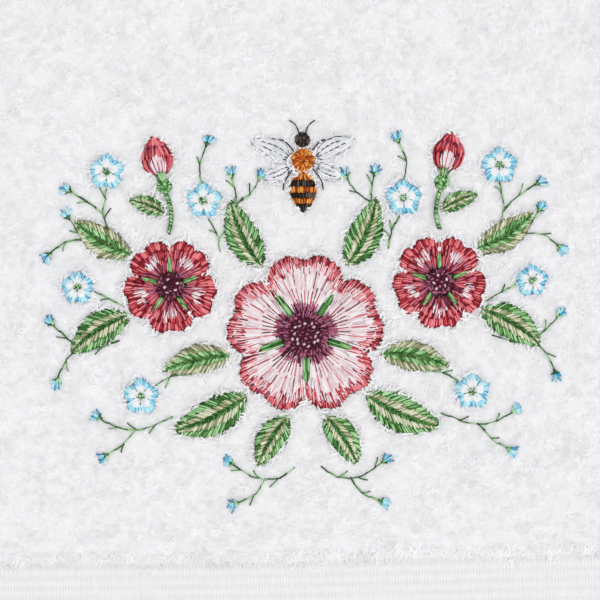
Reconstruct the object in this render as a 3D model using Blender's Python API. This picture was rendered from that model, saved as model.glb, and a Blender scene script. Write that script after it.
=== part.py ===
"""A white terry hand towel with an embroidered garland, laid out flat.

The towel lies on the plane z = 0 with X across its width and Y along its length.
The origin is under its middle. The embroidered end is the one at -Y, and its
garland is the same on the left and on the right of the towel's centre line.
"""

import math
from collections import namedtuple

import bmesh
import bpy

MM = 0.001

# Driving dimensions of the cloth.
WIDTH = 406 * MM
LENGTH = 660 * MM
TERRY_HEIGHT = 5.0 * MM
HEM_HEIGHT = 3.0 * MM
BORDER_HEIGHT = 2.3 * MM
HEM_DEPTH = 18 * MM
SIDE_HEM_DEPTH = 8 * MM
STRIP_DEPTH = 46 * MM
RIDGE_PITCH = 2.6 * MM
RIDGE_COUNT = 12
RIDGE_HEIGHT = 0.3 * MM
PILE_EDGE = 1.2 * MM
BORDER_DEPTH = RIDGE_COUNT * RIDGE_PITCH + 2 * PILE_EDGE
BORDER_INSET = HEM_DEPTH + STRIP_DEPTH

# The folded edge of the hems is rounded above and below.
FOLD_ROUND = 1.0 * MM
FOLD_TOP = 0.62 * HEM_HEIGHT
FOLD_BOTTOM = 0.3 * HEM_HEIGHT

# How far apart the lines of the cloth's upper face stand.
LENGTHWISE_STEP = 15 * MM
CROSSWISE_STEP = 18 * MM
RIDGE_LINES = 3

# Unevenness: the borders draw the width in, and the pile swells a little.
DRAW_IN = 2.5 * MM
DRAW_IN_REACH = 24 * MM
OUTLINE_WAVE = 0.7 * MM
SWELL = 0.3 * MM
Wave = namedtuple("Wave", "radian phase sway sway_radian")
SIDE_WAVE = Wave(61 * MM, 0.6, 0.0, 1.0)
END_WAVE = Wave(44 * MM, 2.0, 0.0, 1.0)
SWELL_ACROSS = Wave(31 * MM, 0.0, 1.3, 47 * MM)
SWELL_ALONG = Wave(23 * MM, 0.8, 1.1, 29 * MM)

# The embroidery is centred above the border, where a hoop pressed the pile flat.
MOTIF_RISE = 70.7 * MM
MOTIF_Y = BORDER_INSET + BORDER_DEPTH + MOTIF_RISE - LENGTH / 2
HOOP_HEIGHT = 4.6 * MM
HOOP_HALF_WIDTH = 66 * MM
HOOP_HALF_LENGTH = 50 * MM
HOOP_EASE = 18 * MM

# Stitched fields lie just clear of the pile, with a low rim and a crown.
CLEARANCE = 0.3 * MM
FIELD_Z = HOOP_HEIGHT + CLEARANCE
FIELD_RIM = 0.25 * MM
FIELD_CROWN = 0.8 * MM
FIELD_TIP = 0.25 * MM
FIELD_END = 0.04
STEM_RADIUS = 0.5 * MM

Thread = namedtuple("Thread", "name red green blue roughness")
COTTON = Thread("cotton", 0.86, 0.86, 0.87, 0.95)
BLUSH = Thread("blush", 0.84, 0.62, 0.66, 0.45)
CRIMSON = Thread("crimson", 0.56, 0.03, 0.06, 0.45)
PLUM = Thread("plum", 0.14, 0.02, 0.07, 0.45)
GREEN = Thread("green", 0.05, 0.22, 0.06, 0.5)
KHAKI = Thread("khaki", 0.42, 0.38, 0.22, 0.5)
SKY = Thread("sky", 0.16, 0.52, 0.78, 0.45)
ORANGE = Thread("orange", 0.75, 0.19, 0.02, 0.45)
BLACK = Thread("black", 0.012, 0.012, 0.014, 0.5)
WHITE = Thread("white", 0.8, 0.84, 0.88, 0.45)

# Places on the garland are millimetres right of and above its centre, and
# angles are degrees anticlockwise from the right. Rows are for the right half.
Bloom = namedtuple("Bloom", "name x y eye inner outer turn thread")
CENTRE_BLOOM = Bloom("bloom", 0, -12, 5.9, 6.6, 21.0, 90, BLUSH)
SIDE_BLOOM = Bloom("side_bloom", 35, 1, 3.3, 3.9, 12.5, 54, CRIMSON)
PETALS = 5
PETAL_HALF_ANGLE = math.radians(34)
PETAL_WAIST = 0.78
PETAL_WIDEST = 0.7
PETAL_SHOULDER = 0.16
PETAL_NOTCH = 0.07
PETAL_NOTCH_WIDTH = 0.22
LEAF_FULLNESS = 0.8
LEAF_LEAN = 0.8

Leaf = namedtuple("Leaf", "name x y heading length width bow thread")
LEAVES = (
    Leaf("leaf_low", 5.0, -33.4, -58, 15.0, 7.5, 0.8, GREEN),
    Leaf("leaf_under", 15.8, -28.0, -24, 21.0, 9.5, -1.2, GREEN),
    Leaf("leaf_inner", 19.8, -17.3, -12, 18.0, 7.5, 1.0, KHAKI),
    Leaf("leaf_upper", 11.2, 5.8, 66, 19.0, 8.5, -1.2, GREEN),
    Leaf("leaf_outer", 46.0, -6.3, -33, 18.0, 8.5, 1.2, GREEN),
    Leaf("leaf_rising", 45.2, 9.6, 32, 17.0, 7.5, -1.0, KHAKI),
    Leaf("leaf_bud", 36.0, 19.8, 22, 10.0, 4.6, 0.6, GREEN),
)
ROSEBUD = Leaf("rosebud", 36.8, 29.5, 78, 10.5, 8.0, 0.0, CRIMSON)
BUD_STEM = ((35.2, 14.8), (34.4, 18.2), (34.6, 21.6), (35.4, 24.4))

Disc = namedtuple("Disc", "name x y radius lobes lobe_depth thread")
CALYX = Disc("calyx", 36.1, 27.0, 1.9, 0, 0.0, GREEN)
STAR_FLOWERS = (
    Disc("star_top", 26.0, 23.0, 4.6, 5, 0.22, SKY),
    Disc("star_corner", 51.0, 31.0, 4.6, 5, 0.22, SKY),
    Disc("star_side", 59.0, 1.0, 4.2, 5, 0.22, SKY),
    Disc("star_low", 43.0, -27.5, 4.6, 5, 0.22, SKY),
)

# The bee flies up the centre line, seen from above.
BEE_Y = 30.0
BEE_DISCS = (
    Disc("bee_head", 0.0, BEE_Y + 8.5, 2.0, 0, 0.0, BLACK),
    Disc("bee_thorax", 0.0, BEE_Y + 3.2, 2.9, 0, 0.0, ORANGE),
)
BEE_TAIL = Leaf("bee_tail", 0.0, BEE_Y - 0.1, -90, 10.0, 6.6, 0.0, BLACK)
BEE_WINGS = (
    Leaf("bee_wing_front", 3.6, BEE_Y + 4.0, 24, 10.5, 4.6, 0.6, WHITE),
    Leaf("bee_wing_back", 3.6, BEE_Y + 1.4, -22, 7.2, 3.6, -0.4, WHITE),
)

RIGHT = 1
LEFT = -1
SIDES = ((LEFT, "left"), (RIGHT, "right"))

# How finely the stitched fields are divided, across and along.
LEAF_FACES = (4, 7)
PETAL_FACES = (8, 5)
DISC_SIDES = 20
DISC_RINGS = 5
STEM_BEVEL_RESOLUTION = 1
STEM_CURVE_RESOLUTION = 3
SHARP_ANGLE = math.radians(50)


# The cloth


def smooth_step(value):
    """Ease from 0 to 1 as the value goes from 0 to 1."""
    t = min(max(value, 0.0), 1.0)
    return t * t * (3.0 - 2.0 * t)


def pile_wall(inset, before, after):
    """The two breaks of a pile edge: the height changes across it."""
    return [(inset - PILE_EDGE / 2, before), (inset + PILE_EDGE / 2, after)]


def hem_breaks(depth):
    """Insets and heights from a folded edge to the terry inside its hem."""
    fold = [(0.0, FOLD_TOP), (FOLD_ROUND, HEM_HEIGHT)]
    return fold + pile_wall(depth, HEM_HEIGHT, TERRY_HEIGHT)


def end_breaks():
    """Insets from an end and heights there: hem, terry, border, terry."""
    border_end = BORDER_INSET + BORDER_DEPTH
    return (
        hem_breaks(HEM_DEPTH)
        + pile_wall(BORDER_INSET, TERRY_HEIGHT, BORDER_HEIGHT)
        + pile_wall(border_end, BORDER_HEIGHT, TERRY_HEIGHT)
        + [(LENGTH / 2, TERRY_HEIGHT)]
    )


def side_breaks():
    """Insets from a long side and heights there: a narrow hem, then terry."""
    return hem_breaks(SIDE_HEM_DEPTH) + [(WIDTH / 2, TERRY_HEIGHT)]


def level_at(breaks, inset):
    """The height at an inset, straight between the breaks."""
    for (start, low), (end, high) in zip(breaks, breaks[1:]):
        if inset <= end:
            return low + (high - low) * (inset - start) / (end - start)
    return breaks[-1][1]


def ridge_depth(inset):
    """How far an inset lies into the border's ridges, or None outside them."""
    depth = inset - BORDER_INSET - PILE_EDGE
    if 0.0 <= depth <= RIDGE_COUNT * RIDGE_PITCH:
        return depth
    return None


def lines_between(breaks, step):
    """The insets of the surface's lines: the breaks and even steps between."""
    insets = [breaks[0][0]]
    for (start, _), (end, _) in zip(breaks, breaks[1:]):
        count = max(1, math.ceil((end - start) / step))
        insets += [start + (end - start) * k / count for k in range(1, count + 1)]
    return insets


def border_lines():
    """The insets of the lines that shape the border's ridges."""
    first = BORDER_INSET + PILE_EDGE
    step = RIDGE_PITCH / RIDGE_LINES
    return [first + step * k for k in range(RIDGE_COUNT * RIDGE_LINES + 1)]


def edge_to_edge(insets, half):
    """Insets from one edge as places from that edge to the opposite one."""
    near = [inset - half for inset in insets]
    return near + [-place for place in reversed(near[:-1])]


def cloth_rows():
    """Places along the towel where lines cross it."""
    border = border_lines()
    outside = [
        inset
        for inset in lines_between(end_breaks(), LENGTHWISE_STEP)
        if not border[0] < inset < border[-1]
    ]
    return edge_to_edge(sorted(outside + border), LENGTH / 2)


def cloth_columns():
    """Places across the towel where lines run along it."""
    return edge_to_edge(lines_between(side_breaks(), CROSSWISE_STEP), WIDTH / 2)


def hoop_press(x, y):
    """1 where the hoop pressed the pile flat, easing to 0 around that place."""
    beyond_x = max(abs(x) - HOOP_HALF_WIDTH, 0.0)
    beyond_y = max(abs(y - MOTIF_Y) - HOOP_HALF_LENGTH, 0.0)
    return 1.0 - smooth_step(math.hypot(beyond_x, beyond_y) / HOOP_EASE)


def wave_at(wave, place, beside):
    """A sine along place that sways with beside, from -1 to 1."""
    sway = wave.sway * math.sin(beside / wave.sway_radian)
    return math.sin(place / wave.radian + wave.phase + sway)


def swell(x, y):
    """The pile's slow unevenness, from -1 to 1."""
    return (wave_at(SWELL_ACROSS, x, y) + wave_at(SWELL_ALONG, y, x)) / 2


def cloth_height(x, y):
    """The height of the towel's upper face."""
    from_end = LENGTH / 2 - abs(y)
    from_side = WIDTH / 2 - abs(x)
    level = min(level_at(end_breaks(), from_end), level_at(side_breaks(), from_side))
    depth = ridge_depth(from_end)
    if depth is not None and from_side > SIDE_HEM_DEPTH:
        level += RIDGE_HEIGHT * (1 - math.cos(math.tau * depth / RIDGE_PITCH)) / 2
    if level < TERRY_HEIGHT:
        return level
    loose = TERRY_HEIGHT + SWELL * (swell(x, y) - 1.0)
    return loose + (HOOP_HEIGHT - loose) * hoop_press(x, y)


def width_scale(y):
    """How much of its full width the towel has at a place along it."""
    from_border = abs(y) - (LENGTH / 2 - BORDER_INSET - BORDER_DEPTH / 2)
    drawn = DRAW_IN * math.exp(-((from_border / DRAW_IN_REACH) ** 2))
    wave = OUTLINE_WAVE * (wave_at(SIDE_WAVE, y, 0.0) - 1.0)
    return 1.0 + (wave - drawn) / (WIDTH / 2)


def length_scale(x):
    """How much of its full length the towel has at a place across it."""
    wave = OUTLINE_WAVE * (wave_at(END_WAVE, x, 0.0) - 1.0)
    return 1.0 + wave / (LENGTH / 2)


# Modelling


def grid_surface(across, along, point):
    """An open surface of across by along faces, each corner put by point(i, j)."""
    bm = bmesh.new()
    bmesh.ops.create_grid(bm, x_segments=across, y_segments=along, size=1.0)
    for vert in bm.verts:
        i = round((vert.co.x + 1) / 2 * across)
        j = round((vert.co.y + 1) / 2 * along)
        vert.co = point(i, j)
    return bm


def close_below(bm, rings):
    """Take an open rim down through rings and close it with one flat face.

    Each ring is a height with the scale of the rim there, across and along.
    """
    edges = [edge for edge in bm.edges if edge.is_boundary]
    for height, scale_x, scale_y in rings:
        grown = bmesh.ops.extrude_edge_only(bm, edges=edges)["geom"]
        for item in grown:
            if isinstance(item, bmesh.types.BMVert):
                item.co = (item.co.x * scale_x, item.co.y * scale_y, height)
        edges = [
            item
            for item in grown
            if isinstance(item, bmesh.types.BMEdge) and item.is_boundary
        ]
    bmesh.ops.contextual_create(bm, geom=edges)
    bmesh.ops.recalc_face_normals(bm, faces=bm.faces)


def mesh_from(name, bm):
    """Turn a bmesh into a smooth-shaded mesh with its edges kept sharp."""
    mesh = bpy.data.meshes.new(name)
    bm.to_mesh(mesh)
    bm.free()
    mesh.shade_smooth()
    mesh.set_sharp_from_angle(angle=SHARP_ANGLE)
    return mesh


def material_of(name, thread):
    """The material of one sub-part."""
    material = bpy.data.materials.new(f"{name}_{thread.name}")
    material.use_nodes = True
    shader = material.node_tree.nodes["Principled BSDF"]
    shader.inputs["Base Color"].default_value = (thread.red, thread.green, thread.blue, 1.0)
    shader.inputs["Roughness"].default_value = thread.roughness
    shader.inputs["Metallic"].default_value = 0.0
    return material


def add_part(name, data, thread, location=(0.0, 0.0, 0.0), turn=0.0):
    """Put a mesh or curve in the towel's collection as one named sub-part."""
    part = bpy.data.objects.new(name, data)
    part.location = location
    part.rotation_euler = (0.0, 0.0, turn)
    part.data.materials.clear()
    part.data.materials.append(material_of(name, thread))
    bpy.data.collections["hand_towel"].objects.link(part)
    return part


def on_garland(x, y):
    """A place on the garland as a location on the towel."""
    return (x * MM, MOTIF_Y + y * MM, FIELD_Z)


def mirrored(row, side):
    """A row of the garland for one side of its centre line."""
    changes = {"x": side * row.x}
    if isinstance(row, Leaf) and side == LEFT:
        changes["heading"] = 180 - row.heading
        changes["bow"] = -row.bow
    if isinstance(row, Bloom) and side == LEFT:
        changes["turn"] = 180 - row.turn
    return row._replace(**changes)


def crown(s):
    """The height of a stitched field at s, from -1 to 1 across it."""
    return FIELD_RIM + FIELD_CROWN * math.sqrt(max(1.0 - s * s, 0.0))


def stitched_field(name, faces, outline):
    """A low pad with a flat underside; outline(s, t) gives its places in plan."""
    across, along = faces

    def point(i, j):
        s = 2 * i / across - 1
        t = j / along
        x, y = outline(s, t)
        end_ease = math.sqrt(math.sin(math.pi * min(max(t, FIELD_END), 1 - FIELD_END)))
        return (x, y, crown(s) * end_ease)

    bm = grid_surface(across, along, point)
    close_below(bm, ((0.0, 1.0, 1.0),))
    return mesh_from(name, bm)


def leaf_mesh(leaf):
    """A pointed leaf along +X from its stalk, its midrib bowed to one side."""

    def outline(s, t):
        lean = min(t, 1.0 - FIELD_END**2) ** LEAF_LEAN
        swelling = math.sin(math.pi * lean) ** LEAF_FULLNESS
        half = FIELD_TIP + (leaf.width * MM / 2 - FIELD_TIP) * swelling
        spine = leaf.bow * MM * 4 * t * (1 - t)
        return (leaf.length * MM * t, spine + half * s)

    return stitched_field(leaf.name, LEAF_FACES, outline)


def petal_mesh(bloom):
    """A petal along +X, narrow at the eye, with a notch in its rounded rim."""

    def outline(s, t):
        notch = PETAL_NOTCH * math.exp(-((s / PETAL_NOTCH_WIDTH) ** 2))
        rim = bloom.outer * MM * (1 - PETAL_SHOULDER * s**4 - notch)
        radius = bloom.inner * MM + (rim - bloom.inner * MM) * t
        opening = math.sin(math.pi / 2 * min(t / PETAL_WIDEST, 1.0))
        angle = PETAL_HALF_ANGLE * (PETAL_WAIST + (1 - PETAL_WAIST) * opening) * s
        return (radius * math.cos(angle), radius * math.sin(angle))

    return stitched_field(f"{bloom.name}_petal", PETAL_FACES, outline)


def disc_mesh(disc):
    """A domed disc with a flat underside, scalloped where it has lobes."""
    bm = bmesh.new()
    bmesh.ops.create_uvsphere(
        bm, u_segments=DISC_SIDES, v_segments=DISC_RINGS, radius=1.0
    )
    for vert in bm.verts:
        angle = math.atan2(vert.co.y, vert.co.x)
        scallop = disc.lobe_depth * (1 - abs(math.cos(disc.lobes * angle / 2)))
        radius = disc.radius * MM * (1 - scallop)
        height = FIELD_RIM + FIELD_CROWN * vert.co.z if vert.co.z > 0 else 0.0
        vert.co = (vert.co.x * radius, vert.co.y * radius, height)
    return mesh_from(disc.name, bm)


# Sub-parts


def build_cloth():
    """The towel itself: one cloth with its hems, two borders and terry pile."""
    rows = cloth_rows()
    columns = cloth_columns()

    def point(i, j):
        x = columns[i]
        y = rows[j]
        return (x * width_scale(y), y * length_scale(x), cloth_height(x, y))

    bm = grid_surface(len(columns) - 1, len(rows) - 1, point)
    underside_x = 1 - FOLD_ROUND / (WIDTH / 2)
    underside_y = 1 - FOLD_ROUND / (LENGTH / 2)
    close_below(bm, ((FOLD_BOTTOM, 1.0, 1.0), (0.0, underside_x, underside_y)))
    add_part("towel_cloth", mesh_from("towel_cloth", bm), COTTON)


def build_leaf(leaf):
    """One leaf, or a bud, wing or tail that has a leaf's outline."""
    turn = math.radians(leaf.heading)
    add_part(leaf.name, leaf_mesh(leaf), leaf.thread, on_garland(leaf.x, leaf.y), turn)


def build_disc(disc):
    """One domed disc or small lobed flower."""
    upright = math.pi / 2
    add_part(disc.name, disc_mesh(disc), disc.thread, on_garland(disc.x, disc.y), upright)


def build_bloom(bloom):
    """An open flower: an eye of close knots and its ring of petals."""
    centre = on_garland(bloom.x, bloom.y)
    eye = Disc(f"{bloom.name}_eye", bloom.x, bloom.y, bloom.eye, 0, 0.0, PLUM)
    build_disc(eye)
    for number in range(PETALS):
        turn = math.radians(bloom.turn) + math.tau * number / PETALS
        name = f"{bloom.name}_petal_{number + 1}"
        add_part(name, petal_mesh(bloom), bloom.thread, centre, turn)


def build_bud_stem(side, side_name):
    """The raised satin stem from a side bloom up to its bud."""
    curve = bpy.data.curves.new(f"bud_stem_{side_name}", "CURVE")
    curve.dimensions = "3D"
    curve.bevel_depth = STEM_RADIUS
    curve.bevel_resolution = STEM_BEVEL_RESOLUTION
    curve.resolution_u = STEM_CURVE_RESOLUTION
    curve.use_fill_caps = True
    spline = curve.splines.new("BEZIER")
    spline.bezier_points.add(len(BUD_STEM) - 1)
    for knot, (x, y) in zip(spline.bezier_points, BUD_STEM):
        knot.co = (side * x * MM, y * MM, STEM_RADIUS)
        knot.handle_left_type = "AUTO"
        knot.handle_right_type = "AUTO"
    add_part(curve.name, curve, GREEN, on_garland(0.0, 0.0))


def build_pair(row, build):
    """A row of the right half and its mirror image on the left."""
    for side, side_name in SIDES:
        build(mirrored(row, side)._replace(name=f"{row.name}_{side_name}"))


def build_towel():
    """The whole towel."""
    build_cloth()
    build_bloom(CENTRE_BLOOM)
    build_pair(SIDE_BLOOM, build_bloom)
    for leaf in LEAVES + (ROSEBUD,) + BEE_WINGS:
        build_pair(leaf, build_leaf)
    for flower in (CALYX,) + STAR_FLOWERS:
        build_pair(flower, build_disc)
    for side, side_name in SIDES:
        build_bud_stem(side, side_name)
    for disc in BEE_DISCS:
        build_disc(disc)
    build_leaf(BEE_TAIL)


for old_object in list(bpy.data.objects):
    bpy.data.objects.remove(old_object, do_unlink=True)
bpy.context.scene.collection.children.link(bpy.data.collections.new("hand_towel"))
build_towel()
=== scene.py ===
"""Looks of a white terry hand towel with an embroidered garland, laid out flat.

Everything is in metres in the towel's own frame: X across, Y along with the
embroidered end at -Y, Z up from the surface that it lies on.
"""

import math
from collections import namedtuple

import bpy
import numpy as np
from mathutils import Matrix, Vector


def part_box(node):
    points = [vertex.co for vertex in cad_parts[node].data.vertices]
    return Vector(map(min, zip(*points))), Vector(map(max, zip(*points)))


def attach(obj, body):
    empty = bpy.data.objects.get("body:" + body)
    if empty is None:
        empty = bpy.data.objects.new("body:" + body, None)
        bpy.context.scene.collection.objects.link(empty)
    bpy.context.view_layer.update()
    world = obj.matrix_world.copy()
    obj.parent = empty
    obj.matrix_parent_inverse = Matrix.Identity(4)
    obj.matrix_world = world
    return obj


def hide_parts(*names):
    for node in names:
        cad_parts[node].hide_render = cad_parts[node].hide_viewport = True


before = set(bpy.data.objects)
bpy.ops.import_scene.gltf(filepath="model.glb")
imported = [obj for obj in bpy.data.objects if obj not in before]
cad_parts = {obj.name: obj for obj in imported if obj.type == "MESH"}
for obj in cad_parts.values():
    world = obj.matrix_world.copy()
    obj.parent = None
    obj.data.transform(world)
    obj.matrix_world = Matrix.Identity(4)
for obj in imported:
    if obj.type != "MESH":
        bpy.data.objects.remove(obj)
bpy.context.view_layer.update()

MM = 0.001
cloth_low, cloth_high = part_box("towel_cloth")
WIDTH = cloth_high[0] - cloth_low[0]
LENGTH = cloth_high[1] - cloth_low[1]

# ---------------------------------------------------------------- the cloth's plan
# The sizes of the part: hems, borders and the heights of its pile.
TERRY_HEIGHT = 5.0 * MM
HEM_HEIGHT = 3.0 * MM
BORDER_HEIGHT = 2.3 * MM
HEM_DEPTH = 18 * MM
SIDE_HEM_DEPTH = 8 * MM
BORDER_INSET = HEM_DEPTH + 46 * MM
PILE_EDGE = 1.2 * MM
RIDGE_PITCH = 2.6 * MM
RIDGE_COUNT = 12
RIDGE_HEIGHT = 0.3 * MM
BORDER_DEPTH = RIDGE_COUNT * RIDGE_PITCH + 2 * PILE_EDGE
BORDER_END = BORDER_INSET + BORDER_DEPTH
FOLD_ROUND = 1.0 * MM
FOLD_TOP = 0.62 * HEM_HEIGHT
FOLD_BOTTOM = 0.3 * HEM_HEIGHT
DRAW_IN = 2.5 * MM
DRAW_IN_REACH = 24 * MM
OUTLINE_WAVE = 0.7 * MM
OUTLINE_WAVES = (61 * MM, 44 * MM)
SWELL = 0.3 * MM
SWELL_WAVES = (31 * MM, 47 * MM, 23 * MM, 29 * MM)
MOTIF_RISE = 70.7 * MM
MOTIF_Y = BORDER_END + MOTIF_RISE - LENGTH / 2
HOOP_HEIGHT = 4.6 * MM
HOOP_HALF_WIDTH = 66 * MM
HOOP_HALF_LENGTH = 50 * MM
HOOP_EASE = 18 * MM

# The camera looks straight down on this much of the cloth, as the photo does.
PICTURE_SIDE = 156 * MM
PICTURE_X = -1.3 * MM
PICTURE_Y = MOTIF_Y - 3.1 * MM
PICTURE_ROLL = math.radians(-0.92)

# The pile has slow lumps, which its ground follows closely, and knobs on them.
LUMP_SIZE = 5.5 * MM
LUMP_HEIGHT = 0.26 * MM
KNOB_SIZE = 2.4 * MM
KNOB_HEIGHT = 0.15 * MM
GROUND_DROP = 0.11 * MM

# Fibres are finest in the picture and grow to FAR_SIZE times that away from it.
FAR_SIZE = 1.7
NEAR_HALF = PICTURE_SIDE / 2 + 4 * MM
GROW_OVER = 22 * MM
# Fibres and their ground are painted darker away from the picture: painted shade for the
# self-shading that fine deep pile has.
NEAR_TONE = 0.68
FAR_SHADED_TONE = 0.61

# The pile's edge wanders, rounds down, and is hollow in places just inside.
EDGE_CLUMP = 3.6 * MM
EDGE_CLUMP_SEED = 43
EDGE_WANDER = 1.0 * MM
EDGE_REACH = 3.2 * MM
SHOULDER_DROP = 0.25 * MM
HOLLOW_DEPTH = 0.3 * MM
HOLLOW_INSET = 3.4 * MM
HOLLOW_HALF = 1.1 * MM


def smooth_step(value):
    """Ease from 0 to 1 as value goes from 0 to 1."""
    t = np.clip(value, 0.0, 1.0)
    return t * t * (3.0 - 2.0 * t)


def soft_noise(x, y, size, seed):
    """Smooth noise from 0 to 1 whose lumps are about size across."""
    lattice = np.random.default_rng(seed).random((128, 128))
    gx, gy = x / size + 64.0, y / size + 64.0
    ix, iy = np.floor(gx).astype(int), np.floor(gy).astype(int)
    fx, fy = smooth_step(gx - ix), smooth_step(gy - iy)
    near, far = ix % 128, (ix + 1) % 128
    low, high = iy % 128, (iy + 1) % 128
    bottom = lattice[near, low] * (1 - fx) + lattice[far, low] * fx
    top = lattice[near, high] * (1 - fx) + lattice[far, high] * fx
    return bottom * (1 - fy) + top * fy


def as_lying(x, y):
    """Places on the true rectangle as they lie in the towel's uneven outline."""
    from_border = np.abs(y) - (LENGTH / 2 - BORDER_INSET - BORDER_DEPTH / 2)
    drawn = DRAW_IN * np.exp(-((from_border / DRAW_IN_REACH) ** 2))
    side_wave = OUTLINE_WAVE * (np.sin(y / OUTLINE_WAVES[0] + 0.6) - 1.0)
    end_wave = OUTLINE_WAVE * (np.sin(x / OUTLINE_WAVES[1] + 2.0) - 1.0)
    wide = 1.0 + (side_wave - drawn) / (WIDTH / 2)
    return x * wide, y * (1.0 + end_wave / (LENGTH / 2))


def insets(x, y):
    """How far places are from the towel's nearer side and its nearer end."""
    return WIDTH / 2 - np.abs(x), LENGTH / 2 - np.abs(y)


def past_box(x, y, y0, half_x, half_y):
    """How far places are outside a rectangle centred on y0, or 0 inside."""
    return np.hypot(np.maximum(np.abs(x) - half_x, 0.0), np.maximum(np.abs(y - y0) - half_y, 0.0))


def pile_height(x, y):
    """The height of the pile's tips, lower where the hoop pressed it."""
    waves = SWELL_WAVES
    across = np.sin(x / waves[0] + 1.3 * np.sin(y / waves[1]))
    along = np.sin(y / waves[2] + 0.8 + 1.1 * np.sin(x / waves[3]))
    loose = TERRY_HEIGHT + SWELL * ((across + along) / 2 - 1.0)
    beyond = past_box(x, y, MOTIF_Y, HOOP_HALF_WIDTH, HOOP_HALF_LENGTH)
    return loose + (HOOP_HEIGHT - loose) * (1.0 - smooth_step(beyond / HOOP_EASE))


def pile_lumps(x, y):
    """The pile's slow lumps, which the ground under it follows."""
    return LUMP_HEIGHT * (soft_noise(x, y, LUMP_SIZE, 41) - 0.5)


def pile_relief(x, y):
    """The lumps and the knobs on them, which the fibres follow."""
    return pile_lumps(x, y) + KNOB_HEIGHT * (soft_noise(x, y, KNOB_SIZE, 42) - 0.5)


def has_pile(x, y):
    """True inside the terry, clear of the hems and borders."""
    from_side, from_end = insets(x, y)
    strip = (from_end > HEM_DEPTH) & (from_end < BORDER_INSET)
    return (from_side > SIDE_HEM_DEPTH) & (strip | (from_end > BORDER_END))


def fibre_size(x, y):
    """The size of the fibres at places on the towel: 1 in the picture."""
    beyond = past_box(x - PICTURE_X, y, PICTURE_Y, NEAR_HALF, NEAR_HALF)
    return 1 + (FAR_SIZE - 1) * smooth_step(beyond / GROW_OVER)


def grown(size):
    """How far fibres have grown towards their size away from the picture."""
    return (size - 1) / (FAR_SIZE - 1)


def pile_tone_with_shade(size):
    """The mean tone of fibres of a size: coarser fibres away from the picture are painted darker,
    painted shade for the self-shading of fine deep pile.
    """
    return NEAR_TONE + (FAR_SHADED_TONE - NEAR_TONE) * grown(size)


def pile_edges(x, y):
    """How far places are inside the pile's edges, and the way out over the nearest."""
    from_side, from_end = insets(x, y)
    on_strip = from_end < BORDER_INSET
    gaps = np.stack(
        (
            np.where(from_end < BORDER_END, np.inf, from_end - BORDER_END),
            np.where(on_strip, BORDER_INSET - from_end, np.inf),
            np.where(on_strip, from_end - HEM_DEPTH, np.inf),
            from_side - SIDE_HEM_DEPTH,
        )
    )
    nearest = gaps.argmin(0)
    out_x = np.sign(x) * np.choose(nearest, (0, 0, 0, 1))
    out_y = np.sign(y) * np.choose(nearest, (1, -1, 1, 0))
    return gaps.min(0), np.arctan2(out_y, out_x)


def edge_sink(x, y):
    """How far the pile sinks near its edges: a round shoulder, and some hollows."""
    size = fibre_size(x, y)
    edge = np.where(has_pile(x, y), pile_edges(x, y)[0], 0)
    shoulder = smooth_step(1 - edge / (EDGE_REACH * size))
    hollow = np.exp(-(((edge - HOLLOW_INSET * size) / (HOLLOW_HALF * size)) ** 2))
    hollow = hollow * smooth_step(1.6 * soft_noise(x, y, EDGE_CLUMP, EDGE_CLUMP_SEED))
    return SHOULDER_DROP * shoulder + HOLLOW_DEPTH * hollow


# ---------------------------------------------------------------- materials
# White cotton's colours, cool and warm: a grey that paints shade, and a light that paints the lit
# tips.
COTTON_GREYS = (0.745, 0.76, 0.78), (0.79, 0.77, 0.755)
COTTON_LIGHTS = (0.945, 0.958, 0.98), (0.985, 0.972, 0.96)
# The weave's dark and light colours follow its bump: painted shade in its grooves, painted light
# on its ribs.
WEAVE_COLOURS = (0.72, 0.72, 0.725), (0.95, 0.948, 0.945)
RIB_PITCH = 0.79 * MM
WEFT_PITCH = 0.52 * MM
YARN_STRETCH = (1.0, 0.22, 1.0)
GROUND_BUMP = 0.2 * MM
WEAVE_BUMP = 0.13 * MM
PLY_BUMP = 0.04 * MM

# Each thread's colours: its darkest, for random dark tones and the painted shade in its gaps, its
# body, and its lightest, for random light tones and its painted gleam.
THREADS = {
    "blush": ((0.48, 0.29, 0.32), (0.88, 0.72, 0.745), (0.99, 0.95, 0.96)),
    "crimson": ((0.09, 0.002, 0.007), (0.56, 0.035, 0.05), (0.97, 0.31, 0.34)),
    "plum": ((0.024, 0.002, 0.008), (0.175, 0.026, 0.06), (0.52, 0.165, 0.28)),
    "green": ((0.008, 0.05, 0.006), (0.095, 0.30, 0.065), (0.53, 0.85, 0.44)),
    "khaki": ((0.12, 0.135, 0.05), (0.42, 0.44, 0.245), (0.84, 0.85, 0.65)),
    "sky": ((0.004, 0.19, 0.40), (0.15, 0.60, 0.84), (0.60, 0.95, 0.99)),
    "orange": ((0.18, 0.022, 0.002), (0.62, 0.14, 0.012), (0.99, 0.47, 0.10)),
    "black": ((0.006, 0.005, 0.004), (0.02, 0.016, 0.012), (0.14, 0.11, 0.085)),
    "white": ((0.55, 0.58, 0.63), (0.84, 0.86, 0.89), (0.97, 0.975, 0.98)),
}
THREAD_BODY = 0.45


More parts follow.
